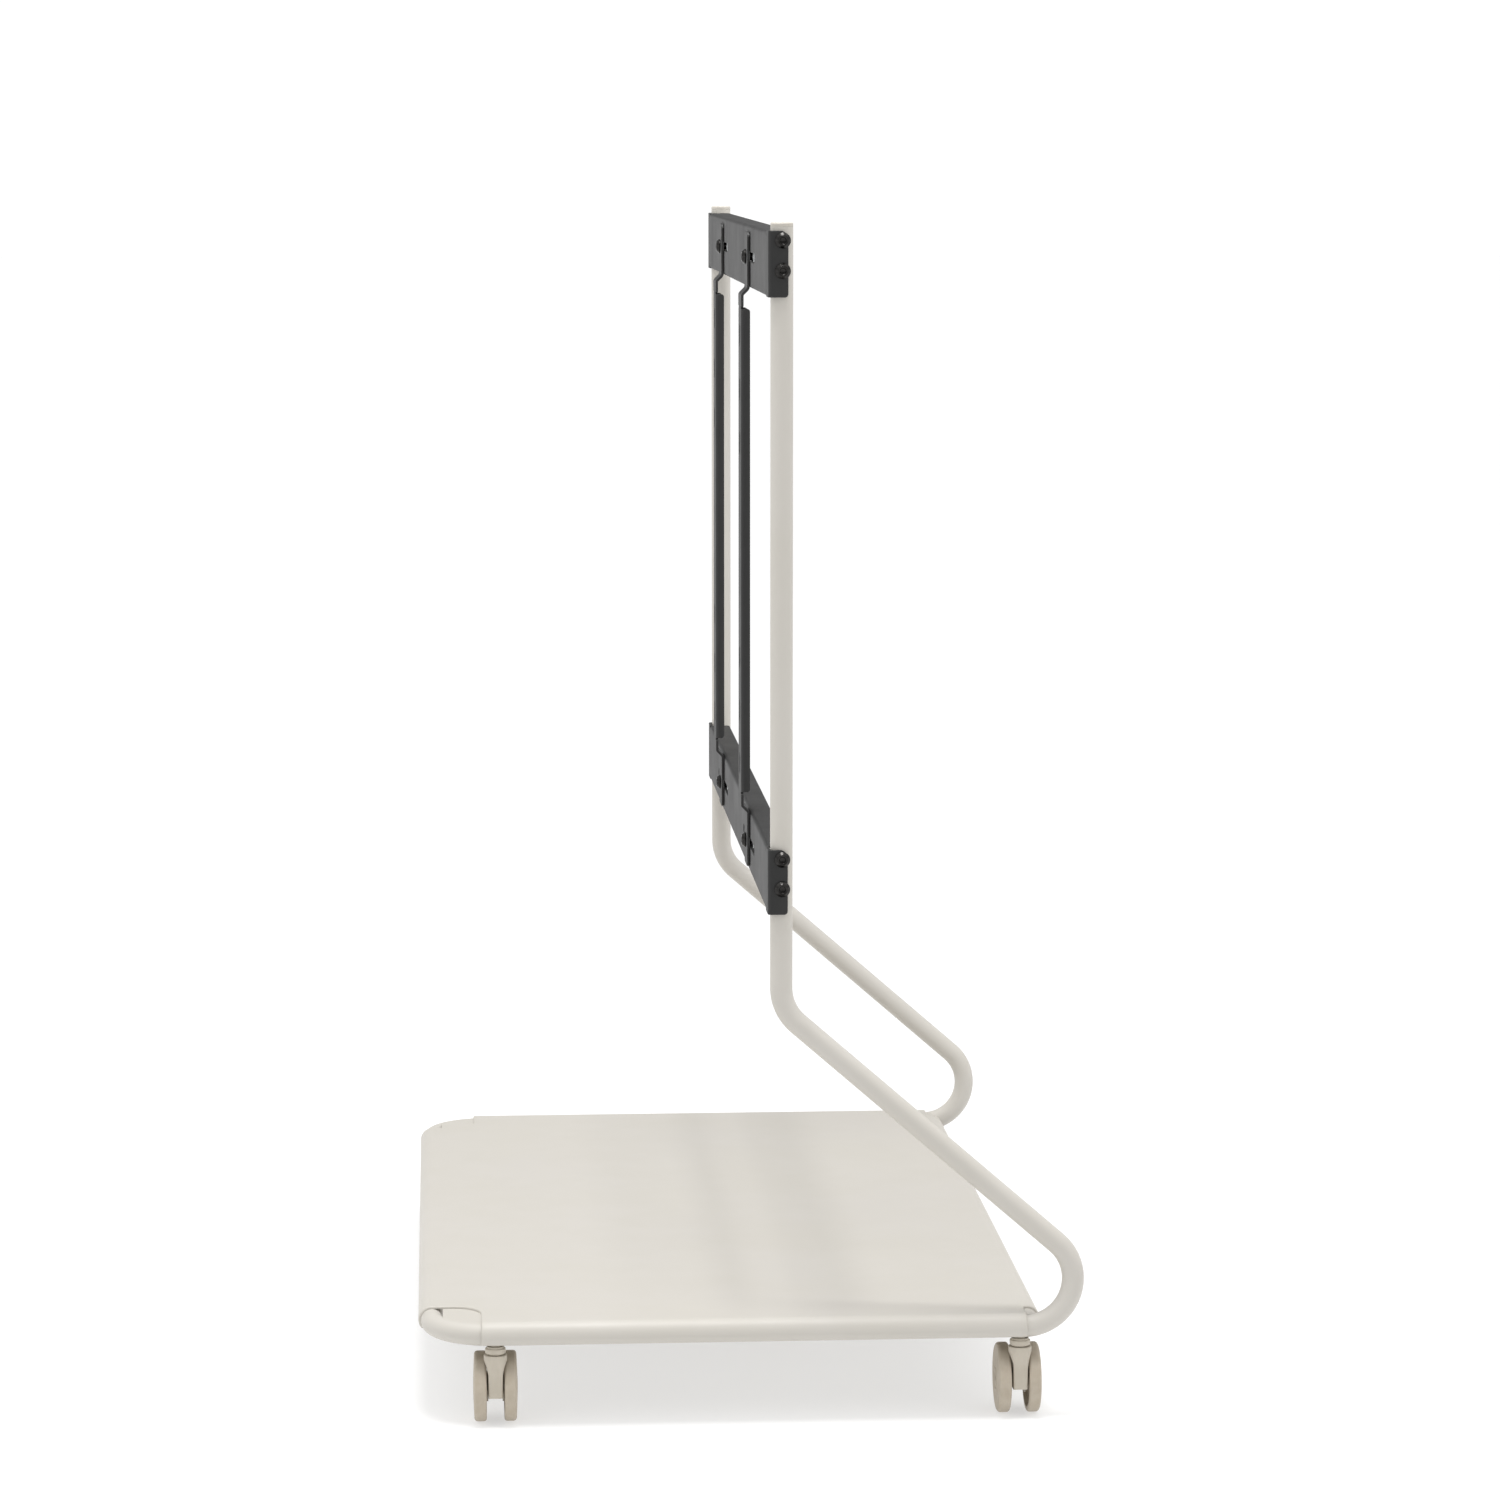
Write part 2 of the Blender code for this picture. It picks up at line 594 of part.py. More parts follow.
def build_nut_bar(side, top, name):
    """Make the threaded bar inside an upright that a rail's two bolts screw into."""
    bm = bmesh.new()
    radius = TUBE_R - TUBE_WALL - GAP
    outline = arc_points((0.0, 0.0), radius, -BAR_HALF, BAR_HALF, 3)
    outline += [(BAR_T, radius * math.sin(BAR_HALF)), (BAR_T, -radius * math.sin(BAR_HALF))]
    x = side * HALF_WIDTH
    add_prism(bm, outline, top - RAIL_BOLTS[1] - BAR_END, top - RAIL_BOLTS[0] + BAR_END,
              lambda a, b, h: Vector((x + side * a, UPRIGHT_Y + b, h)))
    bar = add_object(name, bm, ZINC)
    holes = bmesh.new()
    for drop in RAIL_BOLTS:
        add_hole(holes, BOLT_R + GAP, 0.0, TUBE_R,
                 lambda a, b, h: Vector((x + side * h, UPRIGHT_Y + a, top - drop + b)))
    combine(bar, holes, "DIFFERENCE")


def build_nut(name, seat):
    """Make a flange nut behind a rail, on an arm bolt."""
    x, y, z = seat

    def place(a, b, h):
        return Vector((x + a, y + h, z + b))

    bm = bmesh.new()
    add_turned(bm, [(0.0, 0.0), (FLANGE_R, 0.0), (FLANGE_R, FLANGE_H), (NUT_R, 2.0 * FLANGE_H),
                    (NUT_R, NUT_H), (0.0, NUT_H)], 6, place)
    nut = add_object(name, bm, ZINC, seat, smooth=False)
    bore = bmesh.new()
    add_hole(bore, BOLT_R + GAP, -OVER, NUT_H + OVER, place)
    combine(nut, bore, "DIFFERENCE")


def build_fasteners():
    """Make the rail bolts in the uprights and the arm bolts with their nuts."""
    back, front, _, outside = rail_faces()
    for side, side_name in ((-1.0, "left"), (1.0, "right")):
        for top, rail in ((UPPER_RAIL_TOP, "upper"), (LOWER_RAIL_TOP, "lower")):
            place = f"{rail}_{side_name}"
            build_nut_bar(side, top, place + "_nut_bar")
            for i, drop in enumerate(RAIL_BOLTS, start=1):
                seat = (side * (outside + GAP), UPRIGHT_Y, top - drop)
                build_bolt(f"{place}_rail_bolt_{i}", seat, (-side, 0, 0), TUBE_BOLT)
            z = top - RAIL_HEIGHT / 2.0
            seat = (side * ARM_X, front - GAP - ARM_T - GAP, z)
            build_bolt(place + "_arm_bolt", seat, (0, 1, 0), ARM_BOLT)
            build_nut(place + "_arm_nut", (side * ARM_X, back + GAP, z))


def build_stem(name, x, y):
    """Make a caster's stem: a pin in the tube, a stepped round collar and a pintle."""
    bm = bmesh.new()
    seat = BASE_Z - TUBE_R - GAP
    pintle = YOKE_TOP - PINTLE_LENGTH
    profile = [(0.0, BASE_Z + STEM_RISE), (STEM_R, BASE_Z + STEM_RISE), (STEM_R, seat),
               (TIER_R, seat), (TIER_R, seat - TIER_H), (COLLAR_R, seat - TIER_H),
               (COLLAR_R, seat - TIER_H - COLLAR_H), (TIER_R, YOKE_TOP + GAP),
               (PINTLE_R, YOKE_TOP + GAP), (PINTLE_R, pintle), (0.0, pintle)]
    add_turned(bm, profile, STEM_SIDES, lambda a, b, h: Vector((x + a, y + b, h)))
    add_object(name, bm, CASTER_CREAM, (x, y, seat))


def yoke_section(z):
    """Return a yoke section's outer end, inner end, half width and corner radius at height z.

    Distances run inward from the stem axis. The head is round. Below it the sides draw in to
    the web between the wheels, whose outer end stands upright. The web ends in a boss round the
    axle.
    """
    head = YOKE_TOP - YOKE_HEAD
    drop = min(1.0, max(0.0, (head - z) / (head - WHEEL_R)))
    ease = drop * drop * (3.0 - 2.0 * drop)
    outer = -HEAD_HALF + (HEAD_HALF - WEB_FRONT) * drop
    inner = HEAD_HALF + (TRAIL + BOSS_R - HEAD_HALF) * ease
    neck = min(1.0, max(0.0, (head - z) / YOKE_SHOULDER))
    half = HEAD_HALF + (YOKE_HALF - HEAD_HALF) * math.sin(neck * math.pi / 2.0)
    edge = HEAD_HALF + (WEB_EDGE - HEAD_HALF) * math.sin(neck * math.pi / 2.0)
    if z < WHEEL_R:
        reach = math.sqrt(BOSS_R ** 2 - (WHEEL_R - z) ** 2)
        inner = TRAIL + reach
        if z < WEB_BOTTOM:
            outer = TRAIL - reach
    return outer, inner, half, edge


def build_yoke(name, x, y, inward):
    """Make a caster's yoke by lofting its sections, then clear the wheels and bore it."""
    head = YOKE_TOP - YOKE_HEAD
    heights = [YOKE_TOP, head] + [head - cut * YOKE_SHOULDER for cut in NECK_CUTS]
    heights += [WHEEL_R, WEB_BOTTOM] + [WHEEL_R + cut * BOSS_R for cut in BOSS_CUTS]
    bm = bmesh.new()
    rings = []
    for z in heights:
        outer, inner, half, edge = yoke_section(z)
        centre, reach = (outer + inner) / 2.0, (inner - outer) / 2.0
        edge = min(edge, reach)
        ring = []
        for i in range(YOKE_SIDES):
            angle = 2.0 * math.pi * (i + 0.5) / YOKE_SIDES
            c, s = math.cos(angle), math.sin(angle)
            u = centre + math.copysign(reach - edge, c) + edge * c
            v = math.copysign(half - edge, s) + edge * s
            ring.append(bm.verts.new((x + inward * u, y + v, z)))
        rings.append(ring)
    for low, high in zip(rings, rings[1:]):
        for i in range(YOKE_SIDES):
            j = (i + 1) % YOKE_SIDES
            bm.faces.new((low[i], low[j], high[j], high[i]))
    bm.faces.new(rings[0])
    bm.faces.new(rings[-1])
    yoke = add_object(name, bm, CASTER_CREAM, (x, y, YOKE_TOP))

    axle_x = x + inward * TRAIL
    rooms = bmesh.new()
    for way in (-1.0, 1.0):
        add_hole(rooms, WHEEL_R + RUNNING, YOKE_HALF, WHEEL_IN + WHEEL_W,
                 lambda a, b, h: Vector((axle_x + a, y + way * h, WHEEL_R + b)), WHEEL_SIDES)
    combine(yoke, rooms, "DIFFERENCE")
    bores = bmesh.new()
    add_hole(bores, PINTLE_R + GAP, YOKE_TOP - PINTLE_LENGTH - GAP, YOKE_TOP + OVER,
             lambda a, b, h: Vector((x + a, y + b, h)), STEM_SIDES)
    add_hole(bores, AXLE_R + GAP, -WHEEL_IN, WHEEL_IN,
             lambda a, b, h: Vector((axle_x + a, y + h, WHEEL_R + b)), STEM_SIDES)
    combine(yoke, bores, "DIFFERENCE")


def build_wheel(name, axle_x, y, way):
    """Make one wheel: a moulded disc with chamfered edges, hollow on its inner face."""
    bm = bmesh.new()
    bore = AXLE_R + GAP
    profile = [(bore, 0.0), (WHEEL_HUB, 0.0), (WHEEL_HUB + WHEEL_DRAFT, WHEEL_DISH),
               (TREAD_R - WHEEL_RIM, WHEEL_DISH), (TREAD_R - INNER_EDGE, 0.0), (TREAD_R, INNER_EDGE),
               (TREAD_R, WHEEL_W - OUTER_EDGE), (TREAD_R - INNER_EDGE, WHEEL_W - WHEEL_CROWN),
               (bore, WHEEL_W)]
    add_ring(bm, profile, WHEEL_SIDES,
             lambda a, b, h: Vector((axle_x + a, y + way * (WHEEL_IN + h), WHEEL_R + b)),
             math.pi / 2.0 + math.pi / WHEEL_SIDES)
    add_object(name, bm, CASTER_CREAM, (axle_x, y + way * WHEEL_IN, WHEEL_R))


def build_axle(name, axle_x, y):
    """Make the pin that both wheels of a caster run on."""
    bm = bmesh.new()
    half = WHEEL_IN + WHEEL_W - AXLE_INSET
    add_hole(bm, AXLE_R, -half, half, lambda a, b, h: Vector((axle_x + a, y + h, WHEEL_R + b)),
             STEM_SIDES)
    add_object(name, bm, ZINC, (axle_x, y, WHEEL_R))


def build_caster(corner, side, y):
    """Make one caster: stem, yoke, axle and two wheels."""
    x = side * HALF_WIDTH
    inward = -side
    axle_x = x + inward * TRAIL
    build_stem(corner + "_caster_stem", x, y)
    build_yoke(corner + "_caster_yoke", x, y, inward)
    build_axle(corner + "_caster_axle", axle_x, y)
    build_wheel(corner + "_fore_wheel", axle_x, y, -1.0)
    build_wheel(corner + "_aft_wheel", axle_x, y, 1.0)


def main():
    """Build the stand."""
    clear_scene()
    for side, side_name in ((-1.0, "left"), (1.0, "right")):
        build_frame_tube(side, side_name + "_frame_tube")
        build_cap(side, side_name + "_upright_cap")
        build_gusset(side, side_name + "_corner_gusset")
        build_rib(side, side_name + "_shelf_rib")
        build_arm(side, side_name + "_mount_arm")
        build_caster("front_" + side_name, side, FRONT_CASTER_Y)
        build_caster("rear_" + side_name, side, REAR_CASTER_Y)
    build_front_sleeve()
    build_rear_tube()
    build_shelf()
    build_rail(UPPER_RAIL_TOP, "upper_rail")
    build_rail(LOWER_RAIL_TOP, "lower_rail")
    build_fasteners()


main()
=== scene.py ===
import json
import logging
import math
from dataclasses import dataclass
from enum import Enum
from itertools import product

import bpy
import numpy as np
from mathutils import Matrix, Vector
from mathutils.geometry import delaunay_2d_cdt

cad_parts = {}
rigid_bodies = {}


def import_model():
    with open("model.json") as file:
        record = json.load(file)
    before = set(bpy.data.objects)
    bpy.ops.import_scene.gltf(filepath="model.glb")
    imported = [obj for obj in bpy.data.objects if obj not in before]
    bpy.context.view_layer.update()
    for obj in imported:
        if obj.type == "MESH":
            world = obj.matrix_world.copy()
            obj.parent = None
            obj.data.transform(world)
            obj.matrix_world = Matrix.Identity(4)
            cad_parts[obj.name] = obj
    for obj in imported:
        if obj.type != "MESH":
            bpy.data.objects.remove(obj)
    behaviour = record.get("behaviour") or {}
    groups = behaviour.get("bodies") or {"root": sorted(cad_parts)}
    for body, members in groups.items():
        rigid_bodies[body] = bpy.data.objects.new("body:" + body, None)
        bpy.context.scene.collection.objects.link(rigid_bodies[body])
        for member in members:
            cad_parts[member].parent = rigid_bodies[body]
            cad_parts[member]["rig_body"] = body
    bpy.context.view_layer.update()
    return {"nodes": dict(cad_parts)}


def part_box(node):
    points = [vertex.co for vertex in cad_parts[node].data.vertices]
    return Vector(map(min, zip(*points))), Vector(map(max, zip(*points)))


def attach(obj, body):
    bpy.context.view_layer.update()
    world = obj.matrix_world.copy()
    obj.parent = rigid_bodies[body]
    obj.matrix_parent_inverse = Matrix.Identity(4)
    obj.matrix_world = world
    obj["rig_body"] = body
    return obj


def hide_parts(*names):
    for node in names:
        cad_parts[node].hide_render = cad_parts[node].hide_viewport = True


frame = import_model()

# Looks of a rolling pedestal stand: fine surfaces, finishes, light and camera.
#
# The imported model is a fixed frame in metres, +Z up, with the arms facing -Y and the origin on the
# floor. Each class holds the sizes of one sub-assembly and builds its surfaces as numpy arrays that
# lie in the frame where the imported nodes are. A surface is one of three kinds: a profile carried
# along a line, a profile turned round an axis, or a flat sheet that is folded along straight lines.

log = logging.getLogger("pedestal_stand")

MM = 0.001
QUARTER = math.pi / 2.0
X_AXIS, Y_AXIS, Z_AXIS = np.eye(3)
UPRIGHT_AXES = np.array([X_AXIS, Z_AXIS, -Y_AXIS])

# Least distances in a sheet's mesh: a bend line to the sheet's end, an inner point to a cut, an
# even line to a bend line, and a new point to a corner. Below the last two, a point counts as on a
# line, and two points as one.
EDGE_ROOM = 0.8 * MM
GRID_ROOM = 0.35 * MM
LINE_ROOM = 2.0 * MM
POINT_ROOM = 0.02 * MM
ON_LINE = 0.001 * MM
SAME_POINT = 0.0001 * MM


class Side(Enum):
    """Side of the stand as seen from the front; the value is the sign of x."""

    LEFT = -1.0
    RIGHT = 1.0

    @property
    def word(self) -> str:
        """Name of the side in node names."""
        return self.name.lower()


class Level(Enum):
    """Height of a cross rail."""

    UPPER = "upper"
    LOWER = "lower"


class Corner(Enum):
    """Corner of the base that a caster stands under."""

    FRONT_LEFT = ("front_left", Side.LEFT)
    FRONT_RIGHT = ("front_right", Side.RIGHT)
    REAR_LEFT = ("rear_left", Side.LEFT)
    REAR_RIGHT = ("rear_right", Side.RIGHT)

    @property
    def word(self) -> str:
        """Name of the corner in node names."""
        return self.value[0]

    @property
    def inward(self) -> float:
        """Sign of x towards the middle of the stand."""
        return -self.value[1].value


# Surfaces


@dataclass
class Surface:
    """A closed surface as arrays.

    points is (n, 3), quads (m, 4) and triangles (k, 3) hold point numbers, and rim is 1 at points
    on a cut or worn edge and 0 elsewhere.
    """

    points: np.ndarray
    quads: np.ndarray
    triangles: np.ndarray
    rim: np.ndarray

    def corners(self) -> np.ndarray:
        """Return all faces as triangles, two for each quad."""
        return np.vstack([self.quads[:, [0, 1, 2]], self.quads[:, [0, 2, 3]], self.triangles])

    def facing_out(self) -> "Surface":
        """Return the surface with its faces turned outwards.

        The volume under the triangles is the sum of a . (b x c) / 6. A negative one means that
        the faces look inwards, and then each face is read backwards.

        Returns:
            This surface, or one with every face reversed.
        """
        a, b, c = (self.points[self.corners()[:, k]] for k in range(3))
        if np.einsum("ij,ij->", a, np.cross(b, c)) >= 0.0:
            return self
        return Surface(self.points, self.quads[:, ::-1], self.triangles[:, ::-1], self.rim)

    def normals(self) -> np.ndarray:
        """Return a normal for each point: the sum of the area vectors of the faces round it.

        Returns:
            (n, 3) unit vectors.
        """
        corners = self.corners()
        a, b, c = (self.points[corners[:, k]] for k in range(3))
        area = np.cross(b - a, c - a)
        total = np.zeros_like(self.points)
        for k in range(3):
            np.add.at(total, corners[:, k], area)
        return total / np.maximum(np.linalg.norm(total, axis=1, keepdims=True), 1e-20)


def joined(surfaces: list[Surface]) -> Surface:
    """Return several closed surfaces as one, each with its faces turned outwards.

    Args:
        surfaces: the closed surfaces.

    Returns:
        One surface that holds them all, with the point numbers shifted.
    """
    parts = [part.facing_out() for part in surfaces]
    starts = np.cumsum([0] + [len(part.points) for part in parts[:-1]])
    return Surface(np.vstack([part.points for part in parts]),
                   np.vstack([part.quads + start for part, start in zip(parts, starts)]),
                   np.vstack([part.triangles + start for part, start in zip(parts, starts)]),
                   np.concatenate([part.rim for part in parts]))


def grid_quads(rows: int, columns: int, closed_rows: bool = False) -> np.ndarray:
    """Return the quads of a grid whose columns close on themselves.

    Args:
        rows: number of rows of points.
        columns: number of points in a row.
        closed_rows: whether the last row joins the first.

    Returns:
        An (m, 4) array of point numbers, where point (i, j) is i * columns + j.
    """
    i, j = np.meshgrid(np.arange(rows if closed_rows else rows - 1), np.arange(columns), indexing="ij")
    below, right = (i + 1) % rows, (j + 1) % columns
    return np.stack([i * columns + j, i * columns + right, below * columns + right,
                     below * columns + j], axis=-1).reshape(-1, 4)


def grid_surface(points: np.ndarray, poles: tuple[np.ndarray, ...] = (), closed_rows: bool = False,
                 rim: np.ndarray | None = None) -> Surface:
    """Return a surface from a grid of points whose columns close on themselves.

    Args:
        points: (rows, columns, 3) array.
        poles: one point before the first row and one after the last, where the grid has open ends.
        closed_rows: whether the last row joins the first, as on a ring.
        rim: one value for each row, for the rim attribute.

    Returns:
        The surface, closed at its poles by fans of triangles.
    """
    rows, columns = points.shape[:2]
    worn = np.repeat(np.zeros(rows) if rim is None else rim, columns)
    flat = points.reshape(-1, 3)
    fans = np.empty((0, 3), int)
    if poles:
        flat = np.vstack([flat, np.array(poles)])
        worn = np.append(worn, [0.0, 0.0])
        here = np.arange(columns)
        there = (here + 1) % columns
        last = (rows - 1) * columns
        first_pole, last_pole = rows * columns, rows * columns + 1
        fans = np.vstack([np.stack([np.full(columns, first_pole), there, here], axis=1),
                          np.stack([np.full(columns, last_pole), last + here, last + there], axis=1)])
    return Surface(flat, grid_quads(rows, columns, closed_rows), fans, worn)


def fillet(points: list[tuple[float, float]], radii: list[float], steps: int = 5,
           closed: bool = False) -> np.ndarray:
    """Round the corners of a plane line.

    An arc of radius r touches both sides r / tan(half the corner's angle) from the corner. Its
    points are the two end radii weighted by sin((1 - t) a) / sin a and sin(t a) / sin a.

    Args:
        points: the line's corners.
        radii: a radius for each corner, 0 for a sharp one.
        steps: facets in each arc.
        closed: whether the line closes on itself.

    Returns:
        The line's points with each rounded corner replaced by its arc.
    """
    points = np.asarray(points, float)
    count = len(points)
    out = []
    for k, radius in enumerate(radii):
        here = points[k]
        if radius == 0.0 or (not closed and k in (0, count - 1)):
            out.append(here[None])
            continue
        back, ahead = points[k - 1] - here, points[(k + 1) % count] - here
        back, ahead = back / np.linalg.norm(back), ahead / np.linalg.norm(ahead)
        half = math.acos(np.clip(back @ ahead, -1.0, 1.0)) / 2.0
        reach = radius / math.tan(half)
        middle = (back + ahead) / np.linalg.norm(back + ahead)
        centre = here + middle * radius / math.sin(half)
        start, end = here + back * reach - centre, here + ahead * reach - centre
        sweep = math.pi - 2.0 * half
        t = np.linspace(0.0, 1.0, steps + 1)[:, None]
        out.append(centre + (np.sin((1.0 - t) * sweep) * start + np.sin(t * sweep) * end) / math.sin(sweep))
    return np.vstack(out)


def arc(centre: tuple[float, float], radius: float, start: float, end: float, steps: int) -> np.ndarray:
    """Return points on a plane arc: centre + radius (cos a, sin a)."""
    angle = np.linspace(start, end, steps + 1)
    return np.stack([centre[0] + radius * np.cos(angle), centre[1] + radius * np.sin(angle)], axis=1)


def round_hole(u: float, v: float, radius: float) -> np.ndarray:
    """Return a hole's outline, clockwise."""
    return arc((u, v), radius, 0.0, -2.0 * math.pi, 32)[:-1]


def slot(half: float, radius: float) -> np.ndarray:
    """Return a slot's outline about zero, clockwise: two half circles joined by straight sides."""
    return np.vstack([arc((half, 0.0), radius, QUARTER, -QUARTER, 16),
                      arc((-half, 0.0), radius, -QUARTER, -3.0 * QUARTER, 16)])


@dataclass(frozen=True)
class Run:
    """A stretch of a centreline: straight where radius is 0, else an arc about an axis."""

    length: float
    point: np.ndarray
    tangent: np.ndarray
    side: np.ndarray
    radius: float = 0.0
    axis: np.ndarray | None = None

    def at(self, distance: np.ndarray) -> tuple[np.ndarray, np.ndarray, np.ndarray]:
        """Return points, tangents and side vectors at distances along the run.

        A straight run is p + s t. On an arc, with a = s / r and inward = axis x t, the point is
        p + r (sin(a) t + (1 - cos(a)) inward), and each vector v turns about the axis k to
        v cos(a) + (k x v) sin(a) + k (k . v) (1 - cos(a)).

        Args:
            distance: (n,) distances from the run's start.

        Returns:
            Three (n, 3) arrays.
        """
        ones = np.ones((len(distance), 1))
        if self.radius == 0.0:
            return self.point + distance[:, None] * self.tangent, ones * self.tangent, ones * self.side
        angle = (distance / self.radius)[:, None]
        inward = np.cross(self.axis, self.tangent)
        points = self.point + self.radius * (np.sin(angle) * self.tangent + (1.0 - np.cos(angle)) * inward)
        turned = [v * np.cos(angle) + np.cross(self.axis, v) * np.sin(angle)
                  + self.axis * (self.axis @ v) * (1.0 - np.cos(angle)) for v in (self.tangent, self.side)]
        return points, turned[0], turned[1]


class Centreline:
    """A line of straight runs joined by arcs, with a side vector that turns with it."""

    def __init__(self, corners: list[tuple[float, float, float]], radii: list[float],
                 side: np.ndarray) -> None:
        """Build the runs.

        Args:
            corners: the line's corners.
            radii: arc radius at each inner corner.
            side: vector square to the first run.
        """
        corners = np.asarray(corners, float)
        self.runs: list[Run] = []
        point, tangent = corners[0], self.unit(corners[1] - corners[0])
        for k, radius in enumerate(radii, start=1):
            ahead = self.unit(corners[k + 1] - corners[k])
            turn = math.acos(np.clip(tangent @ ahead, -1.0, 1.0))
            reach = radius * math.tan(turn / 2.0)
            straight = np.linalg.norm(corners[k] - point) - reach
            self.runs.append(Run(straight, point, tangent, side))
            point = point + straight * tangent
            axis = self.unit(np.cross(tangent, ahead))
            bend = Run(radius * turn, point, tangent, side, radius, axis)
            self.runs.append(bend)
            end, tangents, sides = bend.at(np.array([bend.length]))
            point, tangent, side = end[0], tangents[0], sides[0]
        self.runs.append(Run(float(np.linalg.norm(corners[-1] - point)), point, tangent, side))
        self.starts = np.cumsum([0.0] + [run.length for run in self.runs])

    @staticmethod
    def unit(vector: np.ndarray) -> np.ndarray:
        """Return a vector scaled to length 1."""
        return vector / np.linalg.norm(vector)

    @property
    def length(self) -> float:
        """Length of the whole line."""
        return float(self.starts[-1])

    def stations(self, step: float, turn: float) -> np.ndarray:
        """Return distances along the line, no further apart than step, or than turn on an arc.

        Args:
            step: largest distance between stations on a straight run.
            turn: largest angle between stations on an arc.

        Returns:
            Distances from 0 to the line's length.
        """
        marks = [np.zeros(1)]
        for start, run in zip(self.starts, self.runs):
            longest = run.radius * turn if run.radius else step
            count = max(1, math.ceil(run.length / longest))
            marks.append(start + run.length * np.arange(1, count + 1) / count)
        return np.concatenate(marks)

    def at(self, distance: np.ndarray) -> tuple[np.ndarray, np.ndarray, np.ndarray]:
        """Return points, side vectors and third vectors (tangent x side) at distances.

        Args:
            distance: (n,) distances along the line.

        Returns:
            Three (n, 3) arrays.
        """
        distance = np.clip(distance, 0.0, self.length)
        which = np.clip(np.searchsorted(self.starts, distance, side="right") - 1, 0, len(self.runs) - 1)
        points, sides, others = (np.empty((len(distance), 3)) for _ in range(3))
        for k, run in enumerate(self.runs):
            chosen = which == k
            p, t, s = run.at(distance[chosen] - self.starts[k])
            points[chosen], sides[chosen], others[chosen] = p, s, np.cross(t, s)
        return points, sides, others


def carried(line: Centreline, radius: np.ndarray, distance: np.ndarray, sides: int,
            poles: bool = False, rim: np.ndarray | None = None) -> Surface:
    """Carry a round section along a centreline.

    The point at row t and angle a is C(s_t) + r_t (cos(a) side + sin(a) other), where C, side and
    other are the line and its two cross vectors at the distance s_t.

    Args:
        line: the centreline.
        radius: (n,) radius of each row.
        distance: (n,) distance of each row along the line.
        sides: points round the section.
        poles: whether the ends close on the line; without them the rows close on themselves.
        rim: (n,) rim value of each row.

    Returns:
        The closed surface.
    """
    points, side, other = line.at(distance)
    angle = 2.0 * math.pi * np.arange(sides) / sides
    ring = (np.cos(angle)[None, :, None] * side[:, None] + np.sin(angle)[None, :, None] * other[:, None])
    grid = points[:, None] + radius[:, None, None] * ring
    ends = (points[0], points[-1]) if poles else ()
    return grid_surface(grid, ends, closed_rows=not poles, rim=rim)


def tube(line: Centreline, radius: float, wall: float, sides: int, step: float, turn: float) -> Surface:
    """Return a tube with an outer and an inner wall that meet in rounded rims.

    The rows run out along the outer wall, round the far rim, back along the inner wall and round
    the near rim.

    Args:
        line: the centreline.
        radius: outer radius.
        wall: wall thickness.
        sides: points round the section.
        step: largest row spacing on a straight run.
        turn: largest row spacing on an arc, as an angle.

    Returns:
        The closed surface.
    """
    edge = wall / 4.0
    stations = line.stations(step, turn)[1:-1]
    rise = np.linspace(0.0, QUARTER, 4)
    near, far = edge * (1.0 - np.cos(rise)), line.length - edge * (1.0 - np.cos(rise[::-1]))
    outer = radius - edge * (1.0 - np.sin(rise))
    inner = radius - wall + edge * (1.0 - np.sin(rise))
    distances = np.concatenate([near, stations, far, far[::-1], stations[::-1], near[::-1]])
    radii = np.concatenate([outer, np.full(len(stations), radius), outer[::-1], inner,
                            np.full(len(stations), radius - wall), inner[::-1]])
    worn = ((distances <= edge) | (distances >= line.length - edge)).astype(float)
    return carried(line, radii, distances, sides, rim=worn)


def turned(profile: np.ndarray, origin: np.ndarray, axis: np.ndarray, sides: int,
           ring: bool = False, hexagon: np.ndarray | None = None) -> Surface:
    """Turn a profile round an axis, as a circle, a hexagon or a blend of both.

    The point at row t and angle a is origin + h_t axis + r_t k(a) (cos(a) u + sin(a) v). k is 1 on
    a circle and cos(30 deg) / cos((a mod 60 deg) - 30 deg) on a hexagon, and a row's hexagon value
    mixes the two.

    Args:
        profile: (n, 2) radii and heights; a radius of 0 at an end closes it on the axis.
        origin: the axis's zero point.
        axis: unit vector of growing height.
        sides: points round the axis.
        ring: whether the profile closes on itself.
        hexagon: (n,) 0 for round rows and 1 for six sided ones.

    Returns:
        The closed surface.
    """
    radius, height = np.asarray(profile, float).T
    across = Centreline.unit(np.cross(axis, X_AXIS if abs(axis[0]) < 0.9 else Z_AXIS))
    other = np.cross(axis, across)
    angle = 2.0 * math.pi * np.arange(sides) / sides
    flat = math.cos(math.pi / 6.0) / np.cos(np.mod(angle, math.pi / 3.0) - math.pi / 6.0)
    share = np.zeros(len(radius)) if hexagon is None else hexagon
    scale = radius[:, None] * (1.0 + share[:, None] * (flat[None] - 1.0))
    spokes = np.cos(angle)[:, None] * across + np.sin(angle)[:, None] * other
    grid = origin + height[:, None, None] * axis + scale[:, :, None] * spokes[None]
    if ring:
        return grid_surface(grid, closed_rows=True)
    return grid_surface(grid[1:-1], (grid[0, 0], grid[-1, 0]))


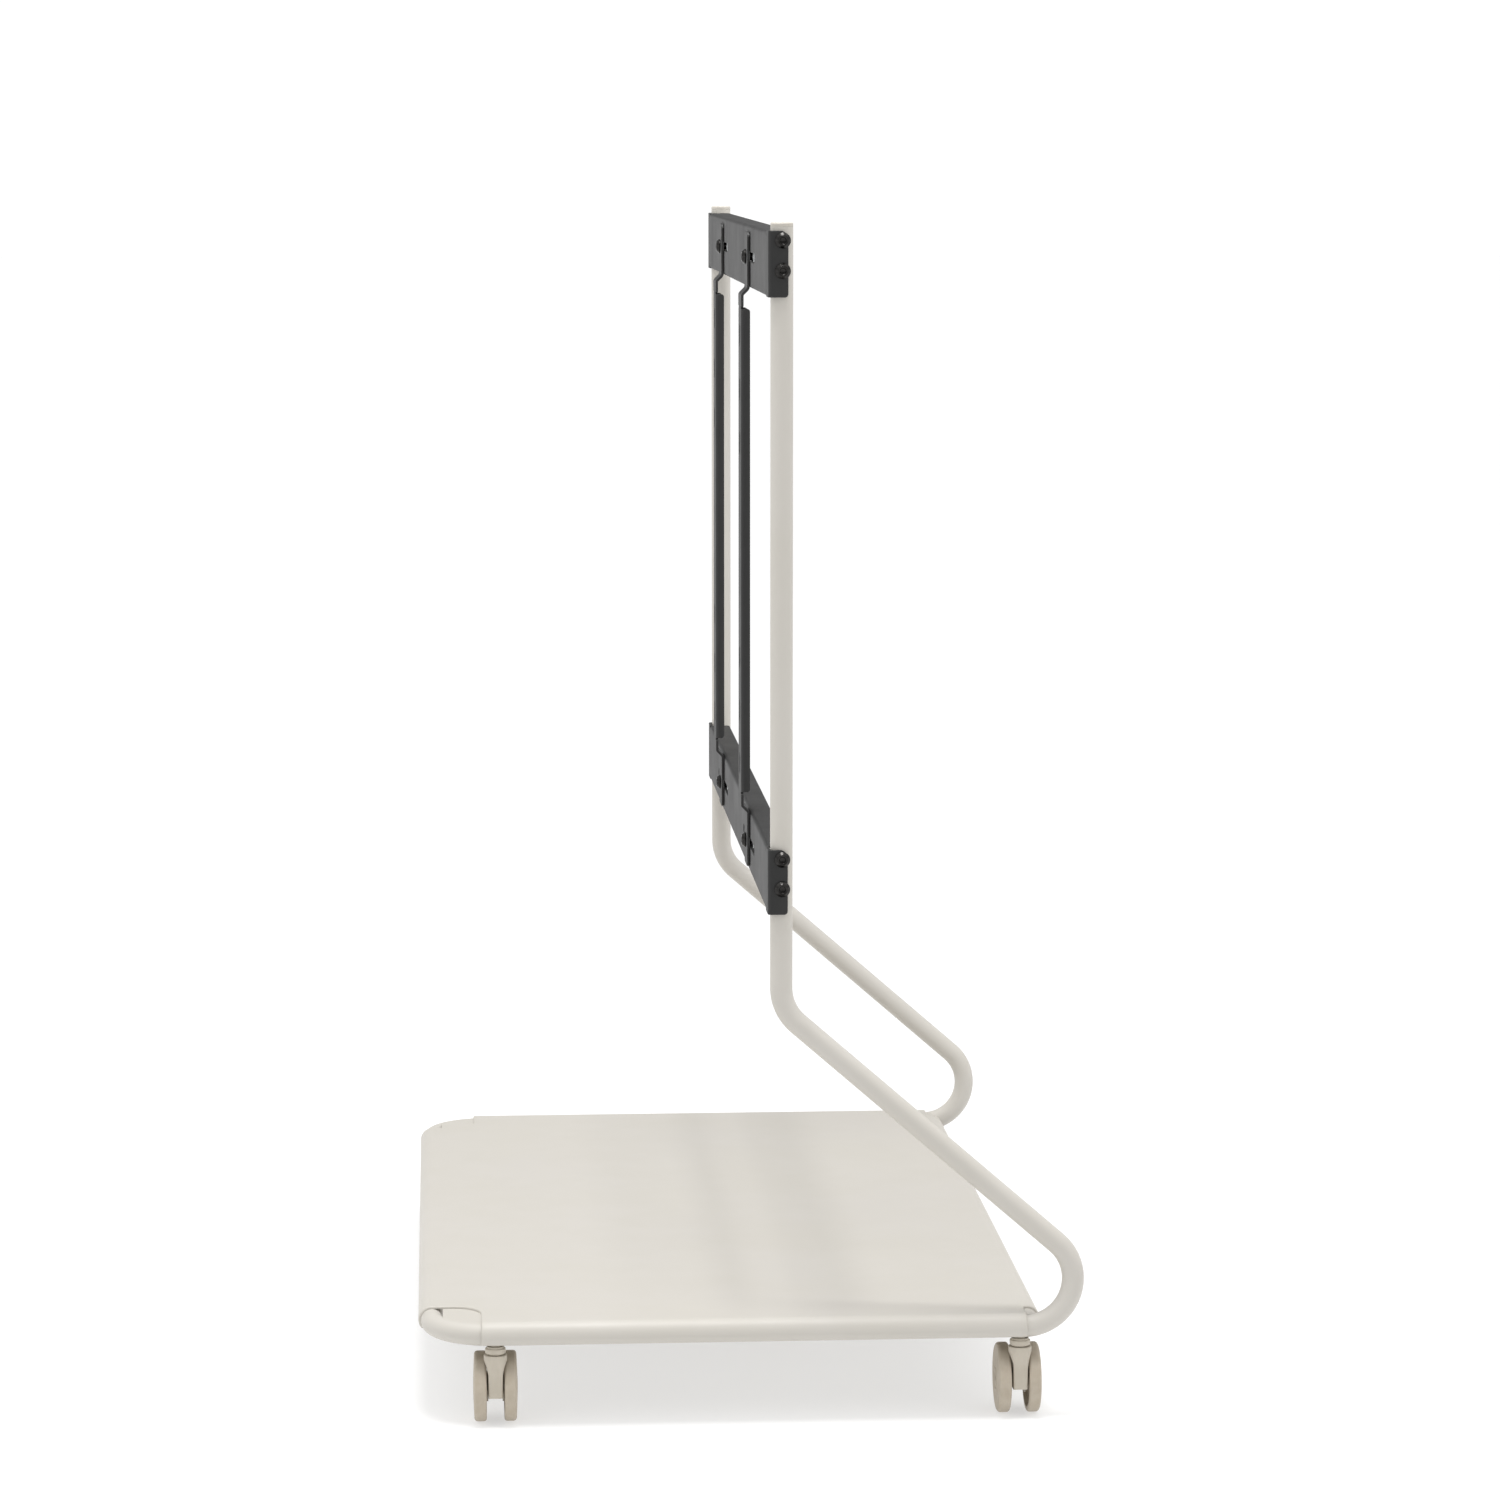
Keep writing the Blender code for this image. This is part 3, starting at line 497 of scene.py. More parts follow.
@dataclass(frozen=True)
class Fold:
    """The line that a sheet's face follows in one direction, alike on both sides of its middle.

    runs holds (length, 0) for a flat stretch and (radius, angle) for a bend, from the middle
    outwards. A positive angle turns away from the face. Beyond reach, measured from the middle of
    the other direction, the sheet stays flat.
    """

    middle: float
    runs: tuple[tuple[float, float], ...]
    reach: float = math.inf

    def length(self) -> float:
        """Return the flat length from the middle to one end."""
        return sum(size * abs(angle) if angle else size for size, angle in self.runs)

    def bend_lines(self, turn: float) -> np.ndarray:
        """Return lines through the bends, evenly turned, and none on the sheet's own edge.

        Args:
            turn: largest angle between two lines.

        Returns:
            The lines' flat coordinates, on both sides of the middle.
        """
        marks, start = [], 0.0
        for size, angle in self.runs:
            if angle:
                count = math.ceil(abs(angle) / turn)
                marks.append(start + size * abs(angle) * np.arange(count + 1) / count)
            start += size * abs(angle) if angle else size
        if not marks:
            return np.empty(0)
        found = np.concatenate(marks)
        found = found[found < start - EDGE_ROOM]
        return np.concatenate([self.middle - found[::-1], self.middle + found])

    def at(self, flat: np.ndarray, active: np.ndarray) -> tuple[np.ndarray, ...]:
        """Return the place, height and normal of the folded face over flat coordinates.

        With a downward turn f that grows as s / r in a bend from f0, the place grows by
        r (sin f - sin f0), the height falls by r (cos f0 - cos f), and the normal is
        (sin f, cos f). A flat stretch goes on in the direction (cos f, -sin f).

        Args:
            flat: flat coordinates.
            active: where the folds act.

        Returns:
            Place, height, and the normal's part along the place and upwards.
        """
        offset = np.abs(flat - self.middle)
        sign = np.where(flat < self.middle, -1.0, 1.0)
        place, height, slope = offset.copy(), np.zeros_like(offset), np.zeros_like(offset)
        start, a, h, heading = 0.0, 0.0, 0.0, 0.0
        for size, angle in self.runs:
            long = size * abs(angle) if angle else size
            chosen = active & (offset >= start)
            s = np.minimum(offset[chosen] - start, long)
            if angle:
                bend = math.copysign(size, angle)
                f = heading + s / bend
                place[chosen] = a + bend * (np.sin(f) - math.sin(heading))
                height[chosen] = h - bend * (math.cos(heading) - np.cos(f))
                slope[chosen] = f
                last = heading + angle
                a, h = (a + bend * (math.sin(last) - math.sin(heading)),
                        h - bend * (math.cos(heading) - math.cos(last)))
                heading = last
            else:
                place[chosen] = a + s * math.cos(heading)
                height[chosen] = h - s * math.sin(heading)
                slope[chosen] = heading
                a, h = a + size * math.cos(heading), h - size * math.sin(heading)
            start += long
        return self.middle + sign * place, height, sign * np.sin(slope), np.cos(slope)


@dataclass(frozen=True)
class Plate:
    """A sheet cut to an outline with holes and folded along straight lines.

    outline runs anticlockwise and holes clockwise in the flat, as (n, 2) arrays. across folds the
    first flat coordinate and along the second; no place lies in a bend of both. axes holds the
    directions of the first coordinate, the second and the face's normal, and origin is where the
    flat's zero lies. cope, if given, has a value of 1 for each outline point whose edge is cut to
    a cylinder of radius cope_radius, whose axis lies under the outline, cope_rise below the face.
    """

    outline: np.ndarray
    holes: tuple[tuple[np.ndarray, float], ...]
    across: Fold
    along: Fold
    thickness: float
    origin: np.ndarray
    axes: np.ndarray
    edge: float = 0.45 * MM
    under: float = 0.45 * MM
    turn: float = math.radians(9.0)
    spacing: float = 40.0 * MM
    cope: np.ndarray | None = None
    cope_radius: float = 0.0
    cope_rise: float = 0.0

    def fold(self, flat: np.ndarray, depth: np.ndarray) -> np.ndarray:
        """Carry flat points into the frame.

        The face point is (a(u), b(v), h(u) + h(v)), and depth is taken off it along the normal
        (n_a, n_b, n_h n_h'), which has one bend's tilt at most.

        Args:
            flat: (n, 2) flat coordinates.
            depth: (n,) depth below the face.

        Returns:
            (n, 3) points.
        """
        u, v = flat.T
        a, rise_a, tilt_a, up_a = self.across.at(u, np.abs(v - self.along.middle) <= self.across.reach)
        b, rise_b, tilt_b, up_b = self.along.at(v, np.abs(u - self.across.middle) <= self.along.reach)
        local = np.stack([a - depth * tilt_a, b - depth * tilt_b, rise_a + rise_b - depth * up_a * up_b],
                         axis=1)
        return self.origin + local @ self.axes

    @staticmethod
    def split(loop: np.ndarray, worth: np.ndarray, u_lines: np.ndarray,
              v_lines: np.ndarray) -> tuple[np.ndarray, np.ndarray]:
        """Add a point wherever a loop crosses a line of constant u or v.

        A side from p to q crosses the line u = c at the share (c - p) / (q - p). All shares
        between 0 and 1 are kept and sorted by side and share.

        Args:
            loop: (n, 2) points.
            worth: (n,) value carried by the points.
            u_lines: values of u.
            v_lines: values of v.

        Returns:
            The loop and its values with the new points in place.
        """
        ahead = np.roll(loop, -1, axis=0)
        shares, sides = [np.zeros(len(loop))], [np.arange(len(loop))]
        for k, lines in ((0, u_lines), (1, v_lines)):
            span = (ahead - loop)[:, k]
            safe = np.where(np.abs(span) < 1e-9, np.inf, span)
            share = (lines[None] - loop[:, k, None]) / safe[:, None]
            room = POINT_ROOM / np.maximum(np.linalg.norm(ahead - loop, axis=1), 1e-9)[:, None]
            side, column = np.nonzero((share > room) & (share < 1.0 - room))
            shares.append(share[side, column])
            sides.append(side)
        share, side = np.concatenate(shares), np.concatenate(sides)
        order = np.lexsort((share, side))
        share, side = share[order][:, None], side[order]
        values = worth[side] * (1.0 - share[:, 0]) + np.roll(worth, -1)[side] * share[:, 0]
        return loop[side] * (1.0 - share) + ahead[side] * share, values

    @staticmethod
    def inset(loop: np.ndarray) -> np.ndarray:
        """Return the inward miter of each point: (n1 + n2) / (1 + n1 . n2) of its sides' normals.

        Args:
            loop: (n, 2) points with the sheet on the left.

        Returns:
            (n, 2) steps that move every side inwards by 1.
        """
        side = np.roll(loop, -1, axis=0) - loop
        side = side / np.linalg.norm(side, axis=1, keepdims=True)
        normal = np.stack([-side[:, 1], side[:, 0]], axis=1)
        before = np.roll(normal, 1, axis=0)
        return (normal + before) / (1.0 + np.sum(normal * before, axis=1, keepdims=True))

    @staticmethod
    def inside(points: np.ndarray, loops: list[np.ndarray]) -> np.ndarray:
        """Return which points lie in the loops: those with an odd count of sides to their right.

        Args:
            points: (n, 2) points.
            loops: the outline and the holes.

        Returns:
            (n,) truth values.
        """
        count = np.zeros(len(points), int)
        for loop in loops:
            p, q = loop, np.roll(loop, -1, axis=0)
            x, y = points[:, 0, None], points[:, 1, None]
            spans = (p[:, 1] > y) != (q[:, 1] > y)
            rise = np.where(q[:, 1] == p[:, 1], 1.0, q[:, 1] - p[:, 1])
            cross = p[:, 0] + (y - p[:, 1]) * (q[:, 0] - p[:, 0]) / rise
            count += np.sum(spans & (x < cross), axis=1)
        return count % 2 == 1

    @staticmethod
    def clearance(points: np.ndarray, loops: list[np.ndarray]) -> np.ndarray:
        """Return each point's distance to the nearest side of the loops.

        The nearest place on a side is p + s (q - p), with s = (x - p) . (q - p) / |q - p|^2 held
        between 0 and 1.

        Args:
            points: (n, 2) points.
            loops: the outline and the holes.

        Returns:
            (n,) distances.
        """
        best = np.full(len(points), np.inf)
        for loop in loops:
            p, way = loop, np.roll(loop, -1, axis=0) - loop
            offset = points[:, None] - p[None]
            share = np.clip(np.sum(offset * way, axis=2) / np.sum(way * way, axis=1), 0.0, 1.0)
            best = np.minimum(best, np.linalg.norm(offset - share[..., None] * way, axis=2).min(axis=1))
        return best

    @staticmethod
    def crossing(a: np.ndarray, b: np.ndarray, loops: list[np.ndarray]) -> np.ndarray:
        """Return which segments from a to b cross a side of the loops.

        Two segments cross where the ends of each lie on opposite sides of the other, by the sign
        of the cross product.

        Args:
            a: (n, 2) starts.
            b: (n, 2) ends.
            loops: the outline and the holes.

        Returns:
            (n,) truth values.
        """
        def turn(p: np.ndarray, q: np.ndarray, r: np.ndarray) -> np.ndarray:
            """Return the cross product of q - p and r - p."""
            return ((q[..., 0] - p[..., 0]) * (r[..., 1] - p[..., 1])
                    - (q[..., 1] - p[..., 1]) * (r[..., 0] - p[..., 0]))
        found = np.zeros(len(a), bool)
        a, b = a[:, None], b[:, None]
        for loop in loops:
            p, q = loop[None], np.roll(loop, -1, axis=0)[None]
            sides_part = turn(a, b, p) * turn(a, b, q) < 0.0
            ends_part = turn(p, q, a) * turn(p, q, b) < 0.0
            found |= np.any(sides_part & ends_part, axis=1)
        return found

    def lines(self, fold: Fold, low: float, high: float) -> np.ndarray:
        """Return a fold's bend lines with evenly spaced ones where the sheet is flat.

        Args:
            fold: the fold in one direction.
            low: least flat coordinate.
            high: greatest flat coordinate.

        Returns:
            Flat coordinates in rising order.
        """
        bends = fold.bend_lines(self.turn)
        even = np.linspace(low, high, max(2, round((high - low) / self.spacing)) + 1)[1:-1]
        if len(bends):
            even = even[np.abs(even[:, None] - bends[None]).min(axis=1) > LINE_ROOM]
        return np.sort(np.concatenate([bends, even]))

    def triangulated(self, loops: list[np.ndarray], grid: np.ndarray, u_lines: np.ndarray,
                     v_lines: np.ndarray) -> np.ndarray:
        """Return the triangles between the loops over loop points followed by grid points.

        The loops and the stretches of each bend line between neighbouring points on it are edges
        of a constrained Delaunay triangulation, whose triangles are kept where their middle lies
        inside.

        Args:
            loops: the inset loops.
            grid: (n, 2) points inside them.
            u_lines: bend lines of constant u.
            v_lines: bend lines of constant v.

        Returns:
            (k, 3) point numbers.
        """
        points = np.vstack([*loops, grid]).astype(np.float32).astype(float)
        edges, start = [], 0
        for loop in loops:
            here = start + np.arange(len(loop))
            edges.append(np.stack([here, np.roll(here, -1)], axis=1))
            start += len(loop)
        for k, lines in ((0, u_lines), (1, v_lines)):
            if not len(lines):
                continue
            near = np.abs(points[:, k, None] - lines[None])
            on = np.flatnonzero(near.min(axis=1) < ON_LINE)
            order = on[np.lexsort((points[on, 1 - k], near[on].argmin(axis=1)))]
            a, b = order[:-1], order[1:]
            same = near[a].argmin(axis=1) == near[b].argmin(axis=1)
            middle = (points[a] + points[b]) / 2.0
            keep = same & self.inside(middle, loops) & (self.clearance(middle, loops) > POINT_ROOM / 2.0)
            keep[keep] = ~self.crossing(points[a[keep]], points[b[keep]], loops)
            edges.append(np.stack([a[keep], b[keep]], axis=1))
        places = [Vector(point) for point in points.tolist()]
        result = delaunay_2d_cdt(places, np.vstack(edges).tolist(), [], 0, SAME_POINT)
        found = np.array(result[2])
        if len(result[0]) != len(points):
            raise ValueError(f"the triangulation made {len(result[0]) - len(points)} points of its own")
        middle = points[found].mean(axis=1)
        span = points[found[:, 1:]] - points[found[:, :1]]
        area = np.abs(span[:, 0, 0] * span[:, 1, 1] - span[:, 0, 1] * span[:, 1, 0])
        return found[self.inside(middle, loops) & (area > 1e-12)]

    def section(self) -> tuple[np.ndarray, np.ndarray, np.ndarray]:
        """Return the rows of the profile through the thickness, from the face down.

        At an angle a the corner is r (1 - sin a) inside the loop and r (1 - cos a) from its face,
        with r as edge at the upper face and under at the lower. A coped side is the root of
        R^2 - (rise - depth)^2 inside the loop.

        Returns:
            Inset of a plain side, inset of a coped one, and depth, for each row.
        """
        angle = np.linspace(0.0, QUARTER, 4)
        inset, depth = 1.0 - np.sin(angle), 1.0 - np.cos(angle)
        insets = np.concatenate([self.edge * inset, self.under * inset[::-1]])
        depths = np.concatenate([self.edge * depth, self.thickness - self.under * depth[::-1]])
        coped = np.sqrt(np.maximum(0.0, self.cope_radius ** 2 - (self.cope_rise - depths) ** 2))
        return insets, coped, depths

    def surface(self) -> Surface:
        """Return the folded sheet as a closed surface.

        Each loop carries the section through the thickness, moved inwards by its inset times the
        miter. The two faces are the same triangles over the inset loops and a grid of inner points.

        Returns:
            The surface, placed in the frame.
        """
        u_bends, v_bends = self.across.bend_lines(self.turn), self.along.bend_lines(self.turn)
        low, high = self.outline.min(axis=0), self.outline.max(axis=0)
        u_lines = self.lines(self.across, low[0], high[0])
        v_lines = self.lines(self.along, low[1], high[1])
        worth = np.zeros(len(self.outline)) if self.cope is None else self.cope
        cuts = [(self.outline, worth, 1.0)]
        cuts += [(hole, np.zeros(len(hole)), share) for hole, share in self.holes]
        insets, coped, depths = self.section()
        rows = len(depths)
        parts, tops, lows, faces, start = [], [], [], [], 0
        rims_top, rims_low, worn = [], [], []
        for corners, worth, share in cuts:
            loop, value = self.split(corners, worth, u_lines, v_lines)
            miter = self.inset(loop)
            amount = share * insets[:, None] * (1.0 - value) + coped[:, None] * value
            flat = loop[None] + amount[..., None] * miter[None]
            count = len(loop)
            parts.append(self.fold(flat.reshape(-1, 2), np.repeat(depths, count)))
            faces.append(grid_quads(rows, count) + start)
            tops.append(start + np.arange(count))
            lows.append(start + (rows - 1) * count + np.arange(count))
            rims_top.append(flat[0])
            rims_low.append(flat[-1])
            worn.append(np.ones(rows * count))
            start += rows * count
        u, v = (side.ravel() for side in np.meshgrid(u_lines, v_lines))
        grid = np.stack([u, v], axis=1)
        grid = grid[self.inside(grid, rims_top) & self.inside(grid, rims_low)]
        if len(grid):
            room = np.minimum(self.clearance(grid, rims_top), self.clearance(grid, rims_low))
            grid = grid[room > GRID_ROOM]
        triangles = self.triangulated(rims_top, grid, u_bends, v_bends)
        for depth_here, numbers in ((0.0, tops), (self.thickness, lows)):
            parts.append(self.fold(grid, np.full(len(grid), depth_here)))
            numbers.append(start + np.arange(len(grid)))
            worn.append(np.zeros(len(grid)))
            start += len(grid)
        top, low_face = np.concatenate(tops)[triangles], np.concatenate(lows)[triangles][:, ::-1]
        rings = np.vstack(faces)
        return Surface(np.vstack(parts), self.matched(rings, top), np.vstack([top, low_face]),
                       np.concatenate(worn))

    @staticmethod
    def matched(quads: np.ndarray, triangles: np.ndarray) -> np.ndarray:
        """Return the rim's quads wound so that they run against the triangles on shared edges.

        Args:
            quads: (m, 4) point numbers, the first side of the first on the upper face's edge.
            triangles: (k, 3) point numbers of the upper face.

        Returns:
            The quads, each read backwards if that side runs the way a triangle's side does.
        """
        sides = np.vstack([triangles[:, [0, 1]], triangles[:, [1, 2]], triangles[:, [2, 0]]])
        alike = np.any(np.all(sides == quads[0, :2], axis=1))
        return quads[:, ::-1] if alike else quads


# Finishes

# Between these values of the cloud noise a finish runs from one colour to the other, and from one
# roughness to the other. Most of the noise lies between them.
TINT_FROM, TINT_TO = 0.35, 0.65
GLOSS_FROM, GLOSS_TO = 0.3, 0.7


def linear(colour: str) -> tuple[float, float, float, float]:
    """Turn an sRGB hex colour into linear red, green, blue and alpha."""
    parts = [int(colour[k:k + 2], 16) / 255.0 for k in (1, 3, 5)]
    return (*(p / 12.92 if p <= 0.04045 else ((p + 0.055) / 1.055) ** 2.4 for p in parts), 1.0)


def add_node(tree: bpy.types.NodeTree, kind: str, settings: dict, links: dict) -> bpy.types.Node:
    """Add a node to a tree.

    Args:
        tree: the tree.
        kind: the node's type.
        settings: values by name, for an attribute of the node or an input socket.
        links: output sockets by the name or number of the input that they feed.

    Returns:
        The new node.
    """
    node = tree.nodes.new(kind)
    for key, value in settings.items():
        if isinstance(key, str) and hasattr(node, key):
            setattr(node, key, value)
        else:
            node.inputs[key].default_value = value
    for key, source in links.items():
        tree.links.new(source, node.inputs[key])
    return node


@dataclass(frozen=True)
class Finish:
    """A surface finish: values that every finish has, and the nodes that they share.

    Lengths are in millimetres. grain is the size of the surface's small relief and relief its
    height. cloud is the size of the faint unevenness, which runs from colour and roughness to
    shade and rougher.
    """

    name: str
    slot: str
    colour: str
    shade: str
    rim_colour: str
    roughness: float
    rougher: float
    grain: float
    relief: float
    cloud: float
    ior: float = 1.5
    metallic: float = 0.0

    def relief_height(self, tree: bpy.types.NodeTree, place: bpy.types.NodeSocket) -> bpy.types.NodeSocket:
        """Return the height of the surface's relief: smooth noise of the grain's size.

        Args:
            tree: the material's tree.
            place: socket with the place on the piece.

        Returns:
            The socket that gives the height.
        """
        return add_node(tree, "ShaderNodeTexNoise", {"Scale": 1.0 / (self.grain * MM), "Detail": 2.0,
                                                     "Roughness": 0.45}, {"Vector": place}).outputs[0]

    def material(self) -> bpy.types.Material:
        """Return the finish as a material, made on first use.

        Colour runs from shade to colour with the cloud noise and to the rim colour along edges,
        the roughness follows the same noise, and the relief drives a bump.

        Returns:
            The material.
        """
        found = bpy.data.materials.get(self.name)
        if found is not None:
            return found
        material = bpy.data.materials.new(self.name)
        material.use_nodes = True
        tree = material.node_tree
        shader = tree.nodes["Principled BSDF"]
        shader.inputs["Metallic"].default_value = self.metallic
        if self.metallic == 0.0:
            shader.inputs["IOR"].default_value = self.ior
        place = add_node(tree, "ShaderNodeTexCoord", {}, {}).outputs["Object"]
        cloud = add_node(tree, "ShaderNodeTexNoise", {"Scale": 1.0 / (self.cloud * MM), "Detail": 3.0,
                                                      "Roughness": 0.6}, {"Vector": place}).outputs[0]
        spread = add_node(tree, "ShaderNodeMapRange", {"From Min": TINT_FROM, "From Max": TINT_TO},
                          {"Value": cloud}).outputs[0]
        body = add_node(tree, "ShaderNodeMix", {"data_type": "RGBA", 6: linear(self.shade),
                                                7: linear(self.colour)}, {0: spread}).outputs[2]
        rim = add_node(tree, "ShaderNodeAttribute", {"attribute_name": "rim"}, {}).outputs["Fac"]
        worn = add_node(tree, "ShaderNodeMath", {"operation": "MULTIPLY"}, {0: rim, 1: cloud}).outputs[0]
        colour = add_node(tree, "ShaderNodeMix", {"data_type": "RGBA", 7: linear(self.rim_colour)},
                          {0: worn, 6: body}).outputs[2]
        gloss = add_node(tree, "ShaderNodeMapRange", {"From Min": GLOSS_FROM, "From Max": GLOSS_TO,
                                                      "To Min": self.rougher, "To Max": self.roughness},
                         {"Value": cloud}).outputs[0]
        bump = add_node(tree, "ShaderNodeBump", {"Strength": 1.0, "Distance": self.relief * MM},
                        {"Height": self.relief_height(tree, place)}).outputs[0]
        tree.links.new(colour, shader.inputs["Base Color"])
        tree.links.new(gloss, shader.inputs["Roughness"])
        tree.links.new(bump, shader.inputs["Normal"])
        return material


@dataclass(frozen=True)
class PowderCoat(Finish):
    """Polyester powder, sprayed and baked on steel: satin, with the soft waves of orange peel.

    Real orange peel has waves of 1 to 3 mm. On the cream coat they are drawn 4 mm long, so that
    they show as a faint unevenness of the highlights, and the black coat has them 2.5 mm long.
    Over cut edges the coat runs thin, where cream looks a little darker and black a little paler.
    """


@dataclass(frozen=True)
class MouldedPlastic(Finish):
    """Injection moulded plastic with the fine spark texture of its mould.

    The real pits are about 0.1 mm wide. They are drawn 0.6 to 0.8 mm wide so that they show at all,
    as a soft grain that takes the gloss off.
    """

    def relief_height(self, tree: bpy.types.NodeTree, place: bpy.types.NodeSocket) -> bpy.types.NodeSocket:
        """Return the height of the mould's texture: small cells with rounded pits.

        Args:
            tree: the material's tree.
            place: socket with the place on the piece.

        Returns:
            The socket that gives the height.
        """
        return add_node(tree, "ShaderNodeTexVoronoi", {"feature": "SMOOTH_F1", "Smoothness": 0.6,
                                                       "Scale": 1.0 / (self.grain * MM)},
                        {"Vector": place}).outputs["Distance"]


@dataclass(frozen=True)
class OxideSteel(Finish):
    """Steel blackened in a hot salt bath and oiled: dark, with a dull metal shine.

    The oxide is a thousandth of a millimetre thick, so the lathe's marks show through it. They
    are about 0.1 mm apart and drawn 0.5 mm apart, so that they spread the glints a little.
    """


@dataclass(frozen=True)
class ZincPlate(Finish):
    """Bright zinc plated on steel: pale metal, cloudy where the bath left it uneven.

    The clouds are as large as the real ones, about 9 mm. The crystals are too fine to see and
    are drawn 0.8 mm wide.
    """


CREAM_COAT = PowderCoat(
    "cream_polyester_powder", "cream_powder_coat", colour="#C3BFB8", shade="#C1BDB5",
    rim_colour="#BFBBB2", roughness=0.46, rougher=0.52, grain=4.0, relief=0.05, cloud=120.0)
BLACK_COAT = PowderCoat(
    "black_polyester_powder", "black_powder_coat", colour="#191919", shade="#161616",
    rim_colour="#242423", roughness=0.50, rougher=0.58, grain=2.5, relief=0.06, cloud=60.0)
CREAM_NYLON = MouldedPlastic(
    "cream_moulded_nylon", "cream_nylon", colour="#BCB4A6", shade="#B6AE9F", rim_colour="#ADA394",
    roughness=0.42, rougher=0.52, grain=0.6, relief=0.012, cloud=14.0, ior=1.53)
# The wheels' nylon is a little darker and duller than the yoke's.
CREAM_TREAD = MouldedPlastic(
    "cream_scuffed_nylon", "cream_nylon", colour="#B4AA9A", shade="#ADA291", rim_colour="#A29786",
    roughness=0.50, rougher=0.62, grain=0.8, relief=0.02, cloud=9.0, ior=1.53)
CREAM_PLUG = MouldedPlastic(
    "cream_moulded_polyethylene", "cream_polyethylene", colour="#C2BDB4", shade="#BDB7AD",
    rim_colour="#B5AEA2", roughness=0.45, rougher=0.52, grain=0.7, relief=0.012, cloud=20.0, ior=1.51)
BLACK_OXIDE = OxideSteel(
    "black_oxide_bolt_steel", "black_oxide_steel", colour="#373635", shade="#2F2E2D",
    rim_colour="#4A4845", roughness=0.20, rougher=0.28, grain=0.5, relief=0.004, cloud=5.0, metallic=1.0)
BRIGHT_ZINC = ZincPlate(
    "bright_zinc_plate", "zinc_plated_steel", colour="#C9CBCC", shade="#BDBFBE",
    rim_colour="#B0AEA6", roughness=0.26, rougher=0.40, grain=0.8, relief=0.006, cloud=9.0, metallic=1.0)


# Pieces


def add_piece(node: str, surfaces: list[Surface], finish: Finish) -> None:
    """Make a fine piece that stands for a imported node: an object at the origin.

    Args:
        node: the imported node, whose body the piece rides on.
        surfaces: the closed surfaces of the piece.
        finish: its finish.
    """
    surface = joined(surfaces)
    mesh = bpy.data.meshes.new(f"fine_{node}")
    loops = np.concatenate([surface.quads.ravel(), surface.triangles.ravel()])
    starts = np.concatenate([4 * np.arange(len(surface.quads)),
                             4 * len(surface.quads) + 3 * np.arange(len(surface.triangles))])
    mesh.vertices.add(len(surface.points))
    mesh.vertices.foreach_set("co", surface.points.ravel())
    mesh.loops.add(len(loops))
    mesh.loops.foreach_set("vertex_index", loops.astype(np.int32))
    mesh.polygons.add(len(starts))
    mesh.polygons.foreach_set("loop_start", starts.astype(np.int32))
    mesh.update(calc_edges=True)
    mesh.shade_smooth()
    rim = mesh.attributes.new("rim", "FLOAT", "POINT")
    rim.data.foreach_set("value", surface.rim.astype(np.float32))
    mesh.normals_split_custom_set_from_vertices(surface.normals().tolist())
    mesh.materials.append(finish.material())
    piece = bpy.data.objects.new(f"fine_{node}", mesh)
    bpy.context.scene.collection.objects.link(piece)
    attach(piece, frame["nodes"][node]["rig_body"])
    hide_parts(node)
    log.info("%s: %d points, %d faces, %s", piece.name, len(surface.points), len(starts), finish.name)


def keep_node(node: str, finish: Finish) -> None:
    """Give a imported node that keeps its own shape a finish.

    Args:
        node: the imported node.
        finish: its finish.
    """
    for holder in frame["nodes"][node].material_slots:
        holder.material = finish.material()
    log.info("%s: kept, %s", node, finish.name)


def box_of(node: str) -> tuple[np.ndarray, np.ndarray, np.ndarray]:
    """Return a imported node's box: its low corner, its high corner and its middle."""
    low, high = (np.array(corner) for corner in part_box(node))
    return low, high, (low + high) / 2.0


